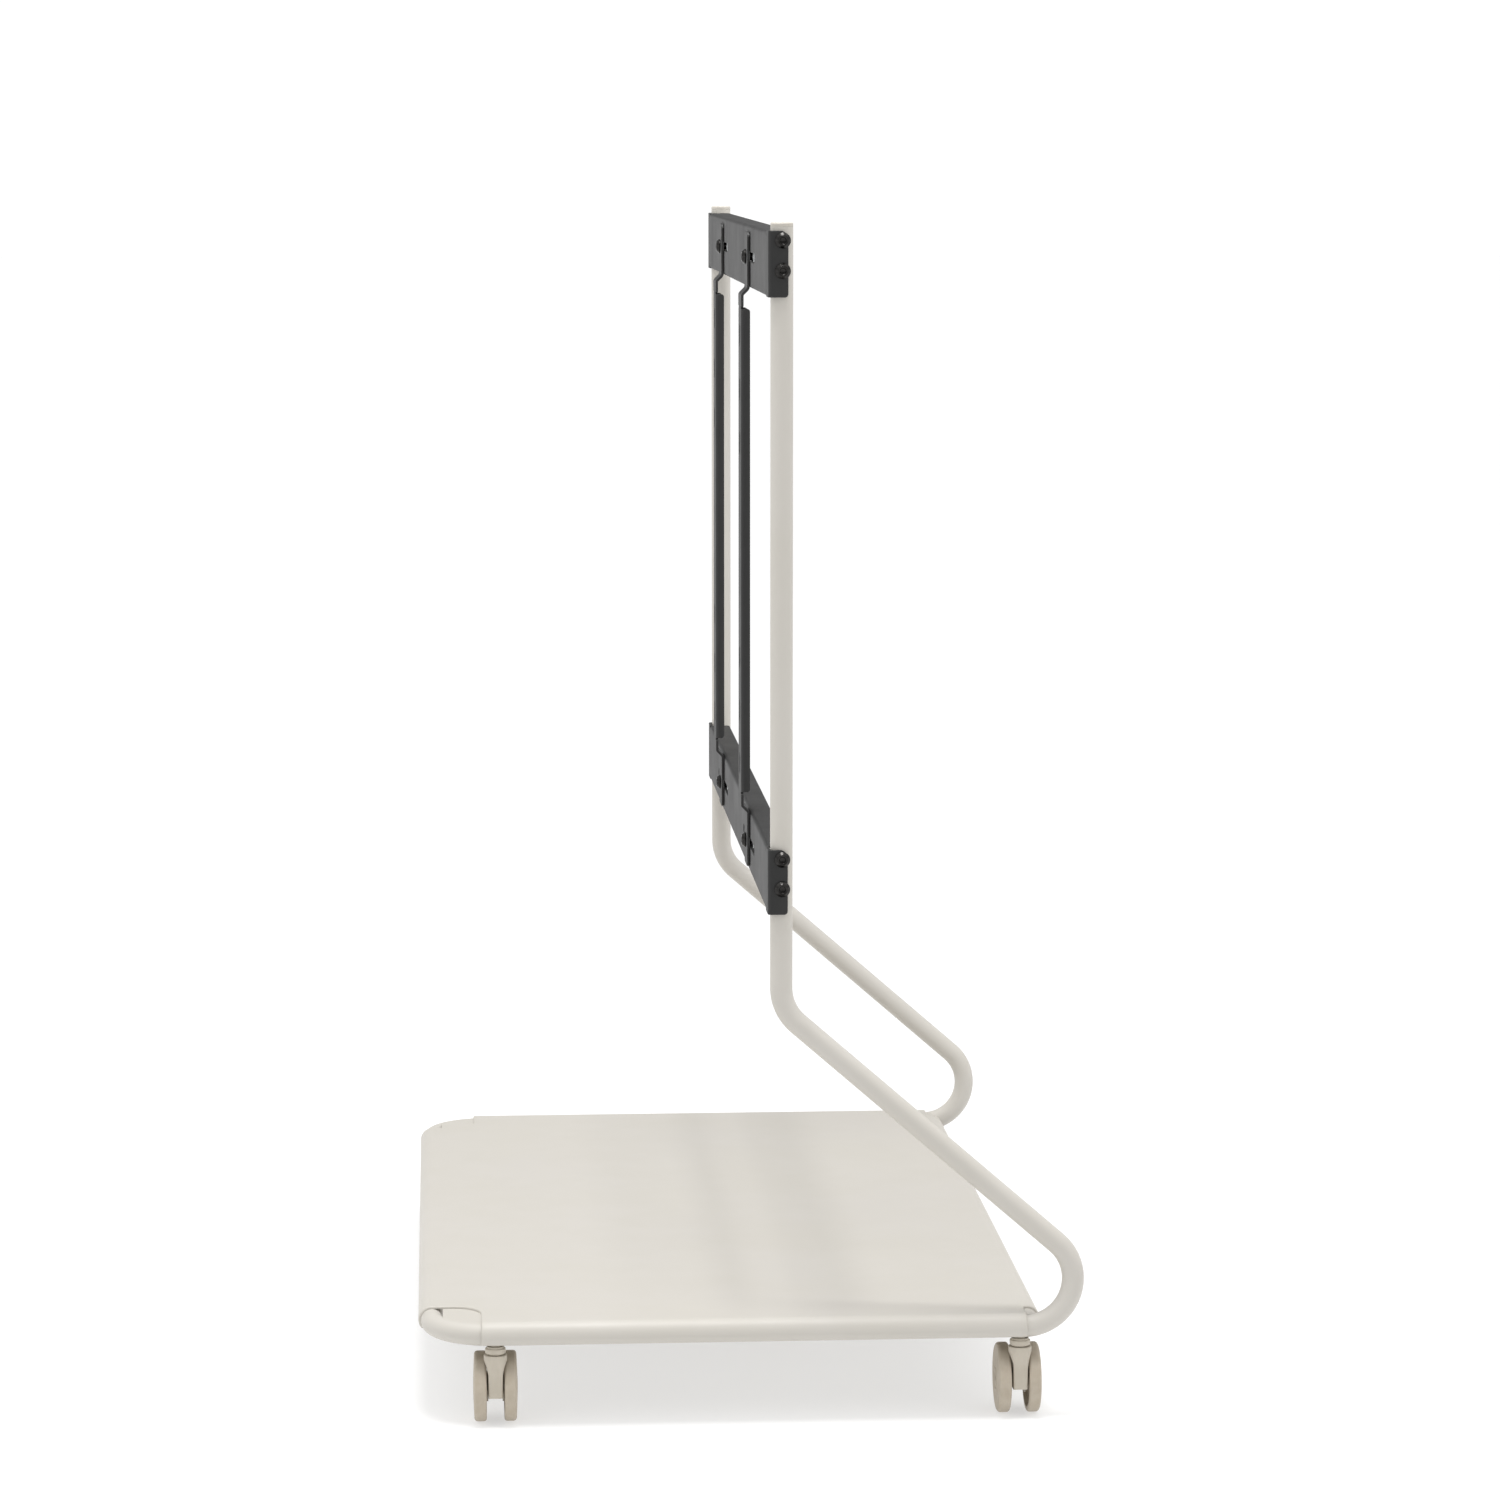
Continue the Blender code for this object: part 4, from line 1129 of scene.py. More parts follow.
@dataclass
class SideFrames:
    """The two bent side tubes, their caps, the rear cross tube and the sleeve."""

    radius: float = 10.0 * MM
    wall: float = 1.5 * MM
    bend: float = 43.5 * MM
    corner: float = 55.0 * MM
    slope: float = math.radians(41.0)
    base_z: float = 84.0 * MM
    rear_y: float = 300.0 * MM
    front_y: float = -287.7 * MM
    rear_tube_y: float = 251.3 * MM
    cap_height: float = 3.0 * MM
    cap_edge: float = 1.2 * MM
    plug: float = 3.8 * MM
    gap: float = 0.3 * MM
    closed_share: float = 0.95
    sides: int = 64
    spacing: float = 30.0 * MM
    turn: float = math.radians(3.0)

    def centreline(self, side: Side) -> Centreline:
        """Return a side tube's line: upright, slope, rear bend, base side, corner and front.

        The slope touches the rear bend's circle, so the knee above it and the heel below it are
        where the slope's line meets the upright and the base side.

        Args:
            side: which tube.

        Returns:
            The line, from the upright's top to the joint in the middle of the front.
        """
        _, high, (x, upright_y, _) = box_of(f"{side.word}_upright_cap")
        top = high[2] - self.cap_height - self.gap
        bend_y = self.rear_y - self.radius - self.bend
        bend_z = self.base_z + self.bend
        slope_y = bend_y + self.bend * math.sin(self.slope)
        slope_z = bend_z + self.bend * math.cos(self.slope)
        knee_z = slope_z + (slope_y - upright_y) * math.tan(self.slope)
        heel_y = slope_y + (slope_z - self.base_z) / math.tan(self.slope)
        corners = [(x, upright_y, top), (x, upright_y, knee_z), (x, heel_y, self.base_z),
                   (x, self.front_y, self.base_z), (side.value * self.gap / 2.0, self.front_y, self.base_z)]
        return Centreline(corners, [self.bend, self.bend, self.corner], X_AXIS)

    def build_tube(self, side: Side) -> None:
        """Build one bent side tube.

        Args:
            side: which tube.
        """
        bent = tube(self.centreline(side), self.radius, self.wall, self.sides, self.spacing, self.turn)
        add_piece(f"{side.word}_frame_tube", [bent], CREAM_COAT)

    def build_cap(self, side: Side) -> None:
        """Build the plug in an upright's top: a flat cap with a rounded rim on a round plug.

        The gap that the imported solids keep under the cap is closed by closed_share.

        Args:
            side: which upright.
        """
        node = f"{side.word}_upright_cap"
        _, high, middle = box_of(node)
        bore = self.radius - self.wall - self.gap
        seat = -self.cap_height - self.closed_share * self.gap
        corners = [(0.0, 0.0), (self.radius, 0.0), (self.radius, seat), (bore, seat),
                   (bore, -self.cap_height - self.plug), (0.0, -self.cap_height - self.plug)]
        profile = fillet(corners, [0.0, self.cap_edge, 0.15 * MM, 0.2 * MM, 0.6 * MM, 0.0], 6)
        profile = np.insert(profile, 1, [(self.radius * 0.4, 0.0), (self.radius * 0.7, 0.0)], axis=0)
        origin = np.array([middle[0], middle[1], high[2]])
        add_piece(node, [turned(profile, origin, Z_AXIS, self.sides)], CREAM_PLUG)

    def build_rear_tube(self) -> None:
        """Build the rear cross tube, whose ends are pulled back to clear the side tubes.

        The end of each fibre of the tube, at height z from the centreline, stops where it meets
        the side tube: its distance from the side centreline is the root of R^2 - z^2.
        """
        x = box_of("right_upright_cap")[2][0]
        ends = [(-x, self.rear_tube_y, self.base_z), (x, self.rear_tube_y, self.base_z)]
        line = Centreline(ends, [], Y_AXIS)
        surface = tube(line, self.radius, self.wall, self.sides, self.spacing, self.turn)
        points = surface.points
        reach = self.radius + self.gap
        limit = x - np.sqrt(np.maximum(0.0, reach ** 2 - (points[:, 2] - self.base_z) ** 2)) - self.gap
        points[:, 0] = np.sign(points[:, 0]) * np.minimum(np.abs(points[:, 0]), limit)
        add_piece("rear_cross_tube", [surface], CREAM_COAT)

    def build(self) -> None:
        """Build both sides, the rear tube and the sleeve's finish."""
        for side in Side:
            self.build_tube(side)
            self.build_cap(side)
        self.build_rear_tube()
        keep_node("front_joint_sleeve", BRIGHT_ZINC)


@dataclass
class BaseShelf:
    """The rolled shelf sheet, the gussets under its front notches and the two ribs.

    The 0.3 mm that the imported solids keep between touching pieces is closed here: the sheet is
    that much thicker, and the gussets reach a little way into the tubes that they are welded to.
    The weld along a gusset's front edge makes it 1.8 mm wider.
    """

    half_width: float = 447.0 * MM
    sheet: float = 2.28 * MM
    edge: float = 1.5 * MM
    under: float = 0.1 * MM
    roll_radius: float = 12.3 * MM
    roll: float = math.radians(135.0)
    outline_radius: float = 2.0 * MM
    tube_radius: float = SideFrames.radius
    tube_z: float = SideFrames.base_z
    front_tube_y: float = SideFrames.front_y
    rear_tube_y: float = SideFrames.rear_tube_y
    corner: float = SideFrames.corner
    gusset: float = 2.0 * MM
    notch_x: float = 57.0 * MM
    notch_y: float = 56.5 * MM
    notch_radius: float = 25.0 * MM
    rear_notch_x: float = 25.0 * MM
    rear_notch_y: float = 548.0 * MM
    rear_notch_radius: float = 2.5 * MM
    gusset_leg: float = 112.0 * MM
    gusset_tip: float = 8.0 * MM
    gusset_front: float = 22.2 * MM
    cope_share: float = 0.99
    rib_x: float = 160.0 * MM
    rib_half: float = 18.0 * MM
    rib_depth: float = 12.0 * MM
    rib_sheet: float = 1.5 * MM
    rib_fold: float = 3.0 * MM

    @property
    def front(self) -> float:
        """Place of the sheet's front face along y."""
        return self.front_tube_y - self.roll_radius

    def build_sheet(self) -> None:
        """Build the sheet: notched at its corners and rolled over the tubes on all four sides."""
        long = self.roll_radius * self.roll
        middle = (self.front_tube_y + self.rear_tube_y) / 2.0
        across = Fold(0.0, ((self.half_width, 0.0), (self.roll_radius, self.roll)))
        along = Fold(middle, ((self.rear_tube_y - middle, 0.0), (self.roll_radius, self.roll)))
        x, y = self.half_width - self.notch_x, self.front + self.notch_y
        rear_x, rear_y = self.half_width - self.rear_notch_x, self.front + self.rear_notch_y
        right = [(x, self.front_tube_y - long), (x, y), (self.half_width + long, y),
                 (self.half_width + long, rear_y), (rear_x, rear_y), (rear_x, self.rear_tube_y + long)]
        small = self.outline_radius
        radii = [small, self.notch_radius, small, small, self.rear_notch_radius, small]
        corners = right + [(-u, v) for u, v in reversed(right)]
        outline = fillet(corners, radii + radii[::-1], 12, closed=True)
        origin = np.array([0.0, 0.0, self.tube_z + self.roll_radius])
        sheet = Plate(outline, (), across, along, self.sheet, origin, np.eye(3), edge=self.edge,
                      under=self.under, turn=math.radians(5.0))
        add_piece("base_shelf", [sheet.surface()], CREAM_COAT)

    def build_gusset(self, side: Side) -> None:
        """Build a corner web, flush with the tubes' crests and coped to the bent tube.

        The cope's radius is cope_share of the tube's, so that the web reaches into the weld.

        Args:
            side: which front corner.
        """
        y = self.front + self.gusset_front
        centre = (self.half_width - self.corner, self.front_tube_y + self.corner)
        start = math.asin((y - centre[1]) / self.corner)
        curve = arc(centre, self.corner, start, 0.0, 24)
        straight = [(self.half_width, y + self.gusset_leg)]
        inner_x = self.half_width - self.gusset_leg
        free = [(self.half_width - self.gusset_tip, y + self.gusset_leg), (inner_x, y + self.gusset_tip),
                (inner_x, y)]
        outline = np.vstack([curve, straight, free])
        cope = np.concatenate([np.ones(len(curve) + 1), np.zeros(len(free))])
        if side is Side.LEFT:
            outline = (outline * [-1.0, 1.0])[::-1]
            cope = cope[::-1]
        flat = Fold(0.0, ((1.0, 0.0),))
        origin = np.array([0.0, 0.0, self.tube_z + self.tube_radius])
        plate = Plate(outline, (), flat, flat, self.gusset, origin, np.eye(3), cope=cope,
                      cope_radius=self.cope_share * self.tube_radius, cope_rise=self.tube_radius)
        add_piece(f"{side.word}_corner_gusset", [plate.surface()], CREAM_COAT)

    def build_rib(self, side: Side) -> None:
        """Build a folded channel under the sheet, front to back.

        Args:
            side: which rib.
        """
        (_, front, _), (_, rear, top), middle = box_of(f"{side.word}_shelf_rib")
        flat = self.rib_half - self.rib_fold
        drop = self.rib_depth - self.rib_fold
        reach = flat + self.rib_fold * QUARTER + drop
        across = Fold(0.0, ((flat, 0.0), (self.rib_fold, QUARTER), (drop, 0.0)))
        along = Fold(middle[1], ((1.0, 0.0),))
        outline = fillet([(-reach, front), (reach, front), (reach, rear), (-reach, rear)],
                         [self.outline_radius] * 4, 5, closed=True)
        plate = Plate(outline, (), across, along, self.rib_sheet,
                      np.array([side.value * self.rib_x, 0.0, top]), np.eye(3))
        add_piece(f"{side.word}_shelf_rib", [plate.surface()], CREAM_COAT)

    def build(self) -> None:
        """Build the sheet, the gussets and the ribs."""
        self.build_sheet()
        for side in Side:
            self.build_gusset(side)
            self.build_rib(side)


@dataclass
class Rails:
    """The two folded cross rails whose ends turn back along the uprights."""

    half_width: float = BaseShelf.half_width
    height: float = 58.0 * MM
    sheet: float = 2.5 * MM
    edge: float = 0.5 * MM
    fold: float = 3.5 * MM
    lip: float = 18.0 * MM
    lip_gap: float = 6.0 * MM
    tube_radius: float = SideFrames.radius
    relief: float = 2.0 * MM
    relief_depth: float = 1.5 * MM
    front: float = 13.0 * MM
    tab_face: float = 459.8 * MM
    tab_back: float = 30.7 * MM
    upright_y: float = 25.8 * MM
    bolts: tuple[float, float] = (8.5 * MM, 35.0 * MM)
    bolt_hole: float = 4.2 * MM
    hole_edge_share: float = 0.1
    slot_half: float = 75.0 * MM
    slot_radius: float = 4.3 * MM
    arm_x: float = 200.0 * MM
    top_corner: float = 7.0 * MM
    foot_corner: float = 3.0 * MM
    lip_corner: float = 4.0 * MM
    relief_corner: float = 0.9 * MM
    relief_root: float = 1.0 * MM

    def build_rail(self, level: Level) -> None:
        """Build one rail: a web with a lip along each edge and a tab folded back at each end.

        Args:
            level: which rail.
        """
        node = f"{level.value}_rail"
        middle = box_of(node)[2]
        half = self.height / 2.0
        lip_end = self.half_width - self.tube_radius - self.lip_gap
        bend = self.fold * QUARTER
        web = half - self.fold
        lip_flat = self.lip + self.sheet - self.fold
        lip_reach = web + bend + lip_flat
        tab_start = self.tab_face - self.fold
        tab_flat = self.tab_back - self.front - self.fold
        tab_reach = tab_start + bend + tab_flat
        notch = web - self.relief_depth
        across = Fold(0.0, ((tab_start, 0.0), (self.fold, QUARTER), (tab_flat, 0.0)))
        along = Fold(0.0, ((web, 0.0), (self.fold, QUARTER), (lip_flat, 0.0)),
                     reach=lip_end + self.relief / 2.0)
        upper = [(tab_reach, half), (lip_end + self.relief, half), (lip_end + self.relief, notch),
                 (lip_end, notch), (lip_end, lip_reach)]
        lower = [(lip_end, -lip_reach), (lip_end, -notch), (lip_end + self.relief, -notch),
                 (lip_end + self.relief, -half), (tab_reach, -half)]
        corners = lower + upper
        corners += [(-u, v) for u, v in reversed(corners)]
        relief = [self.relief_corner, self.relief_corner, self.relief_root]
        radii = [self.lip_corner, *relief, self.foot_corner, self.top_corner, *relief[::-1], self.lip_corner]
        outline = fillet(corners, radii + radii[::-1], 6, closed=True)
        bolt_u = tab_start + bend + self.upright_y - self.front - self.fold
        holes = [(round_hole(sign * bolt_u, half - drop, self.bolt_hole), self.hole_edge_share)
                 for sign in (-1.0, 1.0) for drop in self.bolts]
        holes += [(slot(self.slot_half, self.slot_radius) + [sign * self.arm_x, 0.0], 1.0)
                  for sign in (-1.0, 1.0)]
        plate = Plate(outline, tuple(holes), across, along, self.sheet,
                      np.array([0.0, self.front, middle[2]]), UPRIGHT_AXES, edge=self.edge)
        add_piece(node, [plate.surface()], BLACK_COAT)

    def build(self) -> None:
        """Build both rails."""
        for level in Level:
            self.build_rail(level)


@dataclass
class Arms:
    """The two slotted arms that bolt on to the rails and carry the load."""

    x: float = Rails.arm_x
    half: float = 20.0 * MM
    sheet: float = 2.5 * MM
    edge: float = 0.5 * MM
    face: float = 4.5 * MM
    foot_face: float = 10.2 * MM
    foot: float = 50.0 * MM
    step_angle: float = math.radians(45.0)
    step_radius: float = 3.5 * MM
    fold: float = 3.5 * MM
    flange: float = 6.0 * MM
    taper: float = 12.0 * MM
    slots: tuple[float, ...] = (100.0 * MM, 150.0 * MM, 200.0 * MM)
    slot_half: float = 6.0 * MM
    slot_radius: float = 4.3 * MM
    bolt_hole: float = 4.3 * MM
    bolt_z: float = 274.75 * MM
    hole_edge_share: float = 0.5
    notch: float = 2.0 * MM
    notch_depth: float = 1.5 * MM
    notch_corner: float = 0.9 * MM
    notch_root: float = 1.0 * MM
    foot_corner: float = 6.0 * MM
    flange_corner: float = 3.0 * MM

    def build_arm(self, side: Side) -> None:
        """Build one arm: a strap with flanged sides whose feet step back to the rails.

        A step back by d with two bends of radius r and angle a has a slope of length
        (d - 2 r (1 - cos a)) / sin a between them.

        Args:
            side: which arm.
        """
        node = f"{side.word}_mount_arm"
        low, high, middle = box_of(node)
        reach = (high[2] - low[2]) / 2.0
        step = self.foot_face - self.face
        rise, run = math.sin(self.step_angle), math.cos(self.step_angle)
        slope = (step - 2.0 * self.step_radius * (1.0 - run)) / rise
        length = 2.0 * self.step_radius * rise + slope * run
        knee = reach - self.foot - length
        along = Fold(0.0, ((knee, 0.0), (self.step_radius, self.step_angle), (slope, 0.0),
                           (self.step_radius, -self.step_angle), (self.foot, 0.0)))
        bend = self.fold * QUARTER
        web = self.half - self.fold
        wing = web + bend + self.flange + self.sheet - self.fold
        flanged = knee - self.taper
        across = Fold(0.0, ((web, 0.0), (self.fold, QUARTER), (wing - web - bend, 0.0)),
                      reach=flanged + self.notch / 2.0)
        end = along.length()
        throat = web - self.notch_depth
        quadrant = [(self.half, end), (self.half, flanged + self.notch), (throat, flanged + self.notch),
                    (throat, flanged), (wing, flanged)]
        radii = [self.foot_corner, self.notch_root, self.notch_corner, self.notch_corner, self.flange_corner]
        right = quadrant[::-1]
        lower = [(u, -v) for u, v in quadrant]
        corners = lower + right + [(-u, v) for u, v in quadrant] + [(-u, -v) for u, v in right]
        outline = fillet(corners, radii + radii[::-1] + radii + radii[::-1], 6, closed=True)
        upright_slot = slot(self.slot_half, self.slot_radius)[:, ::-1] * [-1.0, 1.0]
        holes = [(upright_slot + [0.0, sign * offset], 1.0) for offset in self.slots for sign in (-1.0, 1.0)]
        bolt_v = self.bolt_z + end - reach
        holes += [(round_hole(0.0, sign * bolt_v, self.bolt_hole), self.hole_edge_share)
                  for sign in (-1.0, 1.0)]
        origin = np.array([side.value * self.x, self.face, middle[2]])
        plate = Plate(outline, tuple(holes), across, along, self.sheet, origin, UPRIGHT_AXES, edge=self.edge)
        add_piece(node, [plate.surface()], BLACK_COAT)

    def build(self) -> None:
        """Build both arms."""
        for side in Side:
            self.build_arm(side)


@dataclass
class Fasteners:
    """Button head socket bolts, flange nuts and the threaded bars in the uprights."""

    shank: float = 4.0 * MM
    head: float = 7.0 * MM
    head_height: float = 3.7 * MM
    crown: float = 4.6 * MM
    flank: float = 1.15
    socket: float = 2.9 * MM
    socket_floor: float = 1.6 * MM
    socket_edge: float = 0.1 * MM
    socket_root: float = 0.2 * MM
    socket_corner: float = 0.25 * MM
    drill_point: float = 0.6 * MM
    countersink: float = 0.7 * MM
    socket_blend: tuple[float, ...] = (0.3, 1.0, 1.0, 1.0, 0.0)
    rail_bolt: float = 12.0 * MM
    arm_bolt: float = 16.0 * MM
    nut: float = 7.5 * MM
    nut_height: float = 6.5 * MM
    flange: float = 9.0 * MM
    flange_height: float = 1.0 * MM
    bore: float = 4.3 * MM
    bore_wall: float = 1.0 * MM
    hexagon_from: float = 1.7
    sides: int = 48

    def build_bolt(self, node: str, seat: np.ndarray, inward: np.ndarray, length: float) -> None:
        """Build a bolt: a button head with a countersunk six sided socket on a round shank.

        The head's flank rises by flank for each unit towards the axis, and so does the countersink.
        The socket's rows blend from round to six sided and end in the point that a drill leaves.

        Args:
            node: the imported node.
            seat: middle of the head's underside.
            inward: direction of the shank.
            length: shank length.
        """
        top = -self.head_height
        brim = top + self.flank * (self.head - self.crown)
        body = [(0.0, length), (self.shank, length), (self.shank, 0.0), (self.head, 0.0),
                (self.head, brim), (self.crown, top), (self.socket + self.countersink, top)]
        head = fillet(body, [0.0, 0.6 * MM, 0.3 * MM, 0.2 * MM, 0.5 * MM, 0.5 * MM, 0.0], 5)
        rim = top + self.flank * self.countersink
        floor = -self.socket_floor
        well = [(self.socket + self.socket_edge, rim - self.socket_edge),
                (self.socket, rim + self.socket_edge), (self.socket, floor - self.socket_root),
                (self.socket - self.socket_corner, floor), (0.0, floor + self.drill_point)]
        profile = np.vstack([head, well])
        hexagon = np.zeros(len(profile))
        hexagon[-len(well):] = self.socket_blend
        add_piece(node, [turned(profile, seat, inward, self.sides, hexagon=hexagon)], BLACK_OXIDE)

    def build_nut(self, node: str, seat: np.ndarray) -> None:
        """Build a flange nut as a ring: a round flange that blends into six sides.

        Outside the bore's wall, rows above hexagon_from times the flange's height are six sided.

        Args:
            node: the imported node.
            seat: middle of the flange's face.
        """
        corners = [(self.bore, 0.0), (self.flange, 0.0), (self.flange, self.flange_height),
                   (self.nut, 2.0 * self.flange_height), (self.nut, self.nut_height),
                   (self.bore, self.nut_height)]
        radii = [0.4 * MM, 0.4 * MM, 0.3 * MM, 0.3 * MM, 0.5 * MM, 0.4 * MM]
        profile = fillet(corners, radii, 4, closed=True)
        outside = profile[:, 0] > self.bore + self.bore_wall
        above = profile[:, 1] > self.hexagon_from * self.flange_height
        hexagon = np.where(outside & above, 1.0, 0.0)
        nut = turned(profile, seat, Y_AXIS, 2 * self.sides, ring=True, hexagon=hexagon)
        add_piece(node, [nut], BRIGHT_ZINC)

    def build(self) -> None:
        """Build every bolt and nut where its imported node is, and dress the bars."""
        for level, side in product(Level, Side):
            place = f"{level.value}_{side.word}"
            for number in (1, 2):
                node = f"{place}_rail_bolt_{number}"
                low, high, middle = box_of(node)
                shank_end = low[0] if side is Side.RIGHT else high[0]
                seat = np.array([shank_end + side.value * self.rail_bolt, middle[1], middle[2]])
                self.build_bolt(node, seat, -side.value * X_AXIS, self.rail_bolt)
            _, high, middle = box_of(f"{place}_arm_bolt")
            seat = np.array([middle[0], high[1] - self.arm_bolt, middle[2]])
            self.build_bolt(f"{place}_arm_bolt", seat, Y_AXIS, self.arm_bolt)
            low, _, middle = box_of(f"{place}_arm_nut")
            self.build_nut(f"{place}_arm_nut", np.array([middle[0], low[1], middle[2]]))
            keep_node(f"{place}_nut_bar", BRIGHT_ZINC)


@dataclass
class Casters:
    """The four twin wheel casters: stem, yoke, axle and two wheels each."""

    wheel: float = 31.75 * MM
    width: float = 12.0 * MM
    bore: float = 3.3 * MM
    hub: float = 8.5 * MM
    hub_foot: float = 1.0 * MM
    dish: float = 4.5 * MM
    tread: float = 4.9 * MM
    tread_foot: float = 6.8 * MM
    dome: float = 1.0 * MM
    groove: float = 0.8 * MM
    groove_lip: float = 0.1 * MM
    groove_edges: tuple[float, ...] = (2.6 * MM, 1.8 * MM, 0.6 * MM, -0.2 * MM)
    wheel_sides: int = 96
    running: float = 1.4 * MM
    trail: float = 20.0 * MM
    axle: float = 3.0 * MM
    axle_sides: int = 40
    pintle: float = 4.0 * MM
    pintle_length: float = 23.5 * MM
    stem: float = 5.0 * MM
    stem_sides: int = 56
    seat: float = 73.7 * MM
    tier: float = 7.8 * MM
    tier_height: float = 1.5 * MM
    collar: float = 9.3 * MM
    collar_height: float = 4.5 * MM
    yoke_top: float = 66.0 * MM
    head_height: float = 5.0 * MM
    shoulder: float = 15.0 * MM
    web: float = 6.5 * MM
    web_front: float = 8.8 * MM
    web_bottom: float = 27.0 * MM
    web_edge: float = 1.5 * MM
    web_slope: float = 3.0
    edge_share: float = 0.96
    foot_edge: float = 1.0 * MM
    row_step: float = 1.5 * MM
    row_end: float = 0.3 * MM
    head_lip: float = 0.8 * MM
    bore_edge: float = 0.4 * MM
    head: float = 10.5 * MM
    boss: float = 9.0 * MM
    boss_share: float = 0.95
    land: float = 14.0 * MM
    land_height: float = 1.2 * MM
    land_sides: int = 64
    gap: float = 0.3 * MM

    def build_stem(self, corner: Corner) -> None:
        """Build the stem: a pin in the tube, a narrow tier, a round collar and the pintle.

        Args:
            corner: the caster.
        """
        node = f"{corner.word}_caster_stem"
        low, high, middle = box_of(node)
        under_tier = self.seat - self.tier_height
        under_collar = under_tier - self.collar_height
        corners = [(0.0, high[2]), (self.stem, high[2]), (self.stem, self.seat), (self.tier, self.seat),
                   (self.tier, under_tier), (self.collar, under_tier), (self.collar, under_collar),
                   (self.tier, self.yoke_top + self.gap), (self.pintle, self.yoke_top + self.gap),
                   (self.pintle, low[2]), (0.0, low[2])]
        radii = [0.0, 0.8 * MM, 0.3 * MM, 0.4 * MM, 0.2 * MM, 1.2 * MM, 1.0 * MM, 0.3 * MM, 0.3 * MM,
                 0.6 * MM, 0.0]
        origin = np.array([middle[0], middle[1], 0.0])
        stem = turned(fillet(corners, radii, 5), origin, Z_AXIS, self.stem_sides)
        add_piece(node, [stem], CREAM_NYLON)

    @staticmethod
    def ring_pattern() -> tuple[np.ndarray, np.ndarray, np.ndarray]:
        """Return how each point of a rounded box section is placed.

        A point is (g (a - r) + r cos t, h (b - r) + r sin t) for a box of half sizes a and b with
        corner radius r. g and h are 1 or -1 at the corners and run between them on the sides.

        Returns:
            g, h and t for each of the points, anticlockwise.
        """
        signs = np.array([(1.0, 1.0), (-1.0, 1.0), (-1.0, -1.0), (1.0, -1.0)])
        turn = np.linspace(0.0, QUARTER, 10)
        places, angles = [], []
        for k, between in enumerate((30, 5, 30, 5)):
            here, ahead = signs[k], signs[(k + 1) % 4]
            places += [np.tile(here, (len(turn), 1)), np.linspace(here, ahead, between + 2)[1:-1]]
            angles += [turn + k * QUARTER, np.full(between, (k + 1) * QUARTER)]
        g, h = np.vstack(places).T
        return g, h, np.concatenate(angles)

    def yoke_rows(self) -> tuple[np.ndarray, ...]:
        """Return the yoke's sections from the boss up to the head.

        With d the share of the way from the head down to the axle, the inner end follows
        3 d^2 - 2 d^3 and the outer end d. The half width falls with a sine over the shoulder. In
        the boss both ends lie on a circle round the axle, which is cut off at boss_share of its
        radius. The web's foot and the boss's lowest edge are rounded by quarter circles, with the
        next row row_step above where each starts.

        Returns:
            Height, outer end, inner end, half width and corner radius of each row.
        """
        head_z = self.yoke_top - self.head_height
        base = self.wheel - self.boss_share * self.boss
        foot = self.foot_edge
        z = np.concatenate([base + foot * (1.0 - np.cos(np.linspace(0.0, QUARTER, 5))),
                            np.linspace(base + self.row_step, self.web_bottom - self.row_end, 5),
                            self.web_bottom + foot * (1.0 - np.cos(np.linspace(0.0, QUARTER, 6))),
                            np.linspace(self.web_bottom + self.row_step, head_z, 44)[:-1],
                            np.linspace(head_z, self.yoke_top - self.head_lip, 6)])
        drop = np.clip((head_z - z) / (head_z - self.wheel), 0.0, 1.0)
        ease = drop * drop * (3.0 - 2.0 * drop)
        outer = -self.head + (self.head - self.web_front) * drop
        inner = self.head + (self.trail + self.boss - self.head) * ease
        reach = np.sqrt(np.maximum(0.0, self.boss ** 2 - (self.wheel - z) ** 2))
        inner = np.where(z < self.wheel, self.trail + reach, inner)
        lift = np.clip(1.0 - (z - self.web_bottom) / foot, 0.0, 1.0)
        outer = outer + foot * (1.0 - np.sqrt(1.0 - lift * lift))
        outer = np.where(z < self.web_bottom, self.trail - reach, outer)
        neck = np.sin(np.clip((head_z - z) / self.shoulder, 0.0, 1.0) * QUARTER)
        half = self.head + (self.web - self.head) * neck
        edge = self.head + (self.web_edge - self.head) * neck
        under = np.clip(1.0 - (z - base) / foot, 0.0, 1.0)
        return z, outer, inner, half - foot * (1.0 - np.sqrt(1.0 - under * under)), edge

    def build_yoke(self, corner: Corner) -> None:
        """Build the yoke as a loft of rounded boxes from a round head to a web with a boss.

        The half width is held to the web's, plus web_slope times the distance by which a point
        clears the wheels' room. A corner radius is edge_share of a section's half size at most.
        Over the head the rows close in to the pintle's bore. A raised round land on each side of
        the web takes the wheel's side thrust.

        Args:
            corner: the caster.
        """
        node = f"{corner.word}_caster_yoke"
        pin = box_of(f"{corner.word}_caster_stem")[2]
        z, outer, inner, half, edge = self.yoke_rows()
        rise = np.linspace(0.0, QUARTER, 5)[1:]
        lip = self.head_lip
        bore = self.pintle + self.gap
        cap = np.concatenate([self.head - lip * (1.0 - np.cos(rise)),
                              np.linspace(self.head - 2.0 * lip, bore + self.bore_edge, 4),
                              [bore, bore]])
        z = np.concatenate([z, self.yoke_top - lip * (1.0 - np.sin(rise)), np.full(4, self.yoke_top),
                            [self.yoke_top - self.bore_edge,
                             self.yoke_top - self.pintle_length - self.gap]])
        centre = np.concatenate([(outer + inner) / 2.0, np.zeros(len(cap))])
        reach = np.concatenate([(inner - outer) / 2.0, cap])
        half, edge = np.concatenate([half, cap]), np.concatenate([edge, cap])
        edge = np.minimum(edge, self.edge_share * np.minimum(reach, half))
        g, h, t = self.ring_pattern()
        u = centre[:, None] + (reach - edge)[:, None] * g + edge[:, None] * np.cos(t)
